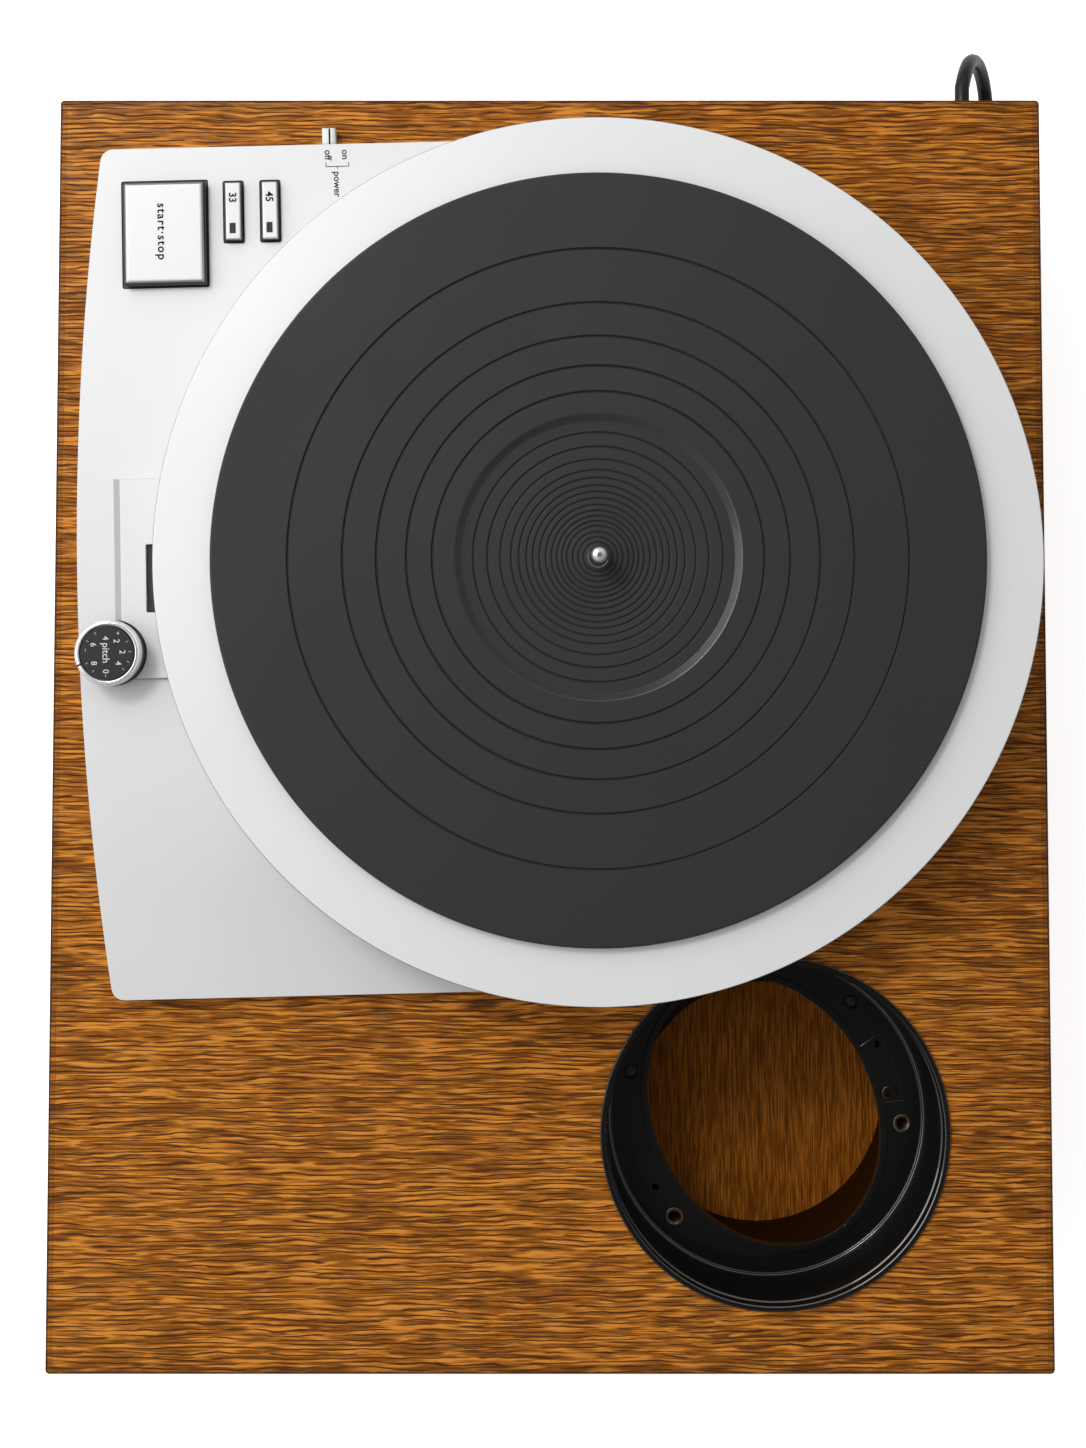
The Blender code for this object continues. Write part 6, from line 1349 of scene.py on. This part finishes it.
# ---- pitch control

pitch = {
    "at": (0.0309, -0.1862), "radius": 0.0125, "wall": 0.0019, "bottom": 0.0089, "top": 0.0199,
    "round": 0.0013, "base": (0.0063, 0.0086, 0.0053), "dialTop": 0.0195, "dialSheet": 0.0022,
    "post": 0.0012, "postBottom": -0.0055, "sleeve": (0.0016, 0.0026, -0.0023), "web": 0.003,
    "pointer": 292.4, "skirt": 0.0058,
    "numbers": (
        ("0", 7.0, -0.6), ("8", 3.8, -5.0), ("6", -3.2, -5.2), ("4", -5.6, -0.5),
        ("2", -4.4, 3.6), ("2", -0.2, 5.8), ("4", 4.0, 4.2),
    ),
    "signs": (("–", -1.2, -8.0), ("+", -7.3, 4.2)), "ticks": (-4, 44, 66, 92, 118, 150, -38, -64, -122, -150),
}


def makePitch():
    p = pitch
    inner = p["radius"] - p["wall"]
    baseLow, baseHigh, baseHole = p["base"]
    base = lathe(
        rounded(
            [
                (p["radius"], baseHigh, 0.0003), (p["radius"], baseLow, 0.0003), (baseHole, baseLow, 0),
                (baseHole, baseHigh, 0),
            ],
            3,
        ),
        96,
    )
    addPiece("pitchCollar", moved(base, *p["at"]), "blackPlastic", "pitch_base")

    dialRadius = inner - gap
    dialLow = p["dialTop"] - p["dialSheet"]
    dial = lathe(rounded([
        (0, p["dialTop"], 0), (dialRadius, p["dialTop"], 0.0003), (dialRadius, dialLow, 0),
        (p["post"], dialLow, 0), (p["post"], p["postBottom"], 0), (0, p["postBottom"], 0),
    ], 3), 72)
    addPiece("pitchScale", moved(dial, *p["at"]), "dialBlack", "pitch_dial")

    webTop = dialLow - gap
    webLow = webTop - p["web"]
    hole, sleeve, sleeveLow = p["sleeve"]
    knob = lathe(rounded([
        (p["radius"], p["top"], p["round"]), (p["radius"], p["bottom"] + p["skirt"], 0.0003),
        (inner, p["bottom"] + p["skirt"], 0), (inner, webLow, 0), (sleeve, webLow, 0), (sleeve, sleeveLow, 0),
        (hole, sleeveLow, 0), (hole, webTop, 0), (inner, webTop, 0), (inner, p["top"], 0.0005),
    ], 4), 128)
    notch = prism([rectangle(0.0032, 0.0007, 0, (p["radius"] - 0.0005, 0))], p["top"] - 0.00035, 0.03)
    pointer = Matrix.Rotation(math.radians(p["pointer"]), 4, "Z")
    knob = combined(knob, [moved(notch, turn=pointer)])
    addPiece("pitchRing", moved(knob, *p["at"]), "ringChrome", "pitch_knob", body="pitch_ring")
    skirt = lathe(rounded([
        (p["radius"] - 0.0003, p["bottom"] + p["skirt"], 0), (p["radius"] - 0.0003, p["bottom"], 0.0003),
        (inner, p["bottom"], 0), (inner, p["bottom"] + p["skirt"], 0),
    ], 3), 96)
    addPiece("pitchSkirt", moved(skirt, *p["at"]), "blackPlastic", body="pitch_ring")
    line = prism(
        [rectangle(0.0019, 0.0006, 0, (p["radius"] - 0.00115, 0))], p["top"] - 0.00033, p["top"] - 0.00012
    )
    addPiece(
        "pitchPointer", moved(line, *p["at"], turn=pointer), "inkBlack", smooth=None,
        body="pitch_ring",
    )

    # The scale: numbers round the word, each with a short tick
    x, y = p["at"]
    rows = [("pitch", x, y - 0.0005, "pitch")]
    for kind in ("number", "sign"):
        rows += [(text, x + dx / 1000, y + dy / 1000, kind) for text, dx, dy in p[kind + "s"]]
    addLetters("pitchNumbers", rows, p["dialTop"] + 0.00002, "inkWhite")
    ticks = []
    for angle in p["ticks"]:
        tick = prism([rectangle(0.0010, 0.00016, 0, (0.0087, 0))], p["dialTop"], p["dialTop"] + 0.00005)
        ticks.append(moved(tick, x, y, turn=Matrix.Rotation(math.radians(angle), 4, "Z")))
    addPiece("pitchTicks", merged(ticks), "inkWhite", smooth=None)


makePitch()
print("pitch control made")


# ---- platter, mat and spindle

turntable = {
    "radius": 0.166, "bottom": 0.0125, "top": 0.033, "rimWall": 0.010, "sheet": 0.006, "edge": 0.0005,
    "bandMargin": 0.0025, "bandDepth": 0.0004, "web": 0.062, "webSheet": 0.015, "hub": 0.0115,
    "hubLength": 0.022, "bore": 0.0053, "ribs": 8, "ribSheet": 0.003, "ribDepth": 0.006,
}
mat = {
    "radius": 0.144, "low": 0.0333, "top": 0.0373, "edge": 0.0012, "bore": 0.0040,
    "grooves": (0.0615, 0.0711, 0.0822, 0.0948, 0.1151), "grooveWidth": 0.0011, "grooveDepth": 0.0007,
    "recess": 0.0508, "slope": 0.0025, "recessDepth": 0.0021, "recessRound": 0.0010, "ringWidth": 0.0010,
    "ringDepth": 0.00055,
    "rings": (
        0.0054, 0.0073, 0.0093, 0.0115, 0.0133, 0.0152, 0.0172, 0.0194, 0.0218, 0.0242, 0.0266, 0.0294,
        0.0323, 0.0363, 0.0411, 0.0464,
    ),
}


def makePlatter():
    t = turntable
    rimInner = t["radius"] - t["rimWall"]
    sheetLow, webLow, hubLow = t["top"] - t["sheet"], t["top"] - t["webSheet"], t["top"] - t["hubLength"]
    bandHigh, bandLow = t["top"] - t["bandMargin"], t["bottom"] + t["bandMargin"]
    band = t["radius"] - t["bandDepth"]
    profile = rounded([
        (t["radius"], t["top"], t["edge"]), (t["radius"], bandHigh + t["bandDepth"], 0.0001),
        (band, bandHigh, 0.0001), (band, bandLow, 0.0001),
        (t["radius"], bandLow - t["bandDepth"], 0.0001), (t["radius"], t["bottom"], t["edge"]),
        (rimInner, t["bottom"], 0.0005), (rimInner, sheetLow, 0.0015), (t["web"], sheetLow, 0.001),
        (t["web"], webLow, 0.001), (t["hub"], webLow, 0.001), (t["hub"], hubLow, 0.0005),
        (t["bore"], hubLow, 0), (t["bore"], t["top"], 0),
    ], 4)
    body = lathe(profile, 256)
    ribs = []
    start, end = t["web"] - 0.002, rimInner + 0.002
    for i in range(t["ribs"]):
        rib = prism(
            [rectangle(end - start, t["ribSheet"], 0, ((start + end) / 2, 0))], sheetLow - t["ribDepth"],
            sheetLow + gap,
        )
        rib.transform(Matrix.Rotation(2 * math.pi * i / t["ribs"], 4, "Z"))
        ribs.append(rib)
    platter = addPiece(
        "platterBody", merged([body, *ribs]), "platterSilver", "platter",
        body="platter_unit",
    )
    # The rim's outer rounded edge is painted darker grey: a painted dark reflection
    paintFaces(platter, "shadedEdgeSilver", unitPlace, lambda centre, normal: (
        math.hypot(centre.x, centre.y) > t["radius"] - t["edge"]
        and centre.z > t["top"] - t["edge"] and normal.z < 0.97
    ))


def makeMat():
    m = mat
    recess = m["top"] - m["recessDepth"]
    corners = [(m["bore"], m["low"], 0), (m["bore"], recess, 0)]
    half = m["ringWidth"] / 2
    for radius in m["rings"]:
        corners += [
            (radius - half, recess, 0.00025), (radius, recess - m["ringDepth"], 0.0001),
            (radius + half, recess, 0.00025),
        ]
    corners += [(m["recess"], recess, 0.0002), (m["recess"] + m["slope"], m["top"], m["recessRound"])]
    for radius in m["grooves"]:
        half = m["grooveWidth"] / 2
        corners += [
            (radius - half, m["top"], 0.0001), (radius, m["top"] - m["grooveDepth"], 0.0001),
            (radius + half, m["top"], 0.0001),
        ]
    corners += [(m["radius"], m["top"], m["edge"]), (m["radius"], m["low"], 0.0003)]
    profile = list(reversed(rounded(corners, 3)))
    ribbed = addPiece(
        "ribbedMat", lathe(profile, 288), "matRubber", "platter_mat", 24, body="platter_unit"
    )
    # The slope round the recess is smoother and glossier, and its colour is painted darker as shade
    inner, outer = m["recess"] - gap, m["recess"] + m["slope"] + m["recessRound"]
    paintFaces(
        ribbed, "matSheenAndShade", unitPlace,
        lambda centre, normal: inner < math.hypot(centre.x, centre.y) < outer and normal.z < 0.97,
    )


def makeSpindle():
    tip, body = 0.0036, 0.005
    high, shoulder, low = 0.0523, 0.0327, -0.0420
    corners = [
        (0, high, 0), (tip, high, 0.00345), (tip, shoulder, 0), (body, shoulder, 0.0002), (body, low, 0.0014),
        (0, low, 0),
    ]
    addPiece(
        "polishedSpindle", lathe(rounded(corners, 10), 64), "chrome", "spindle", 40,
        body="platter_unit",
    )


makePlatter()
makeMat()
makeSpindle()
print("platter made")
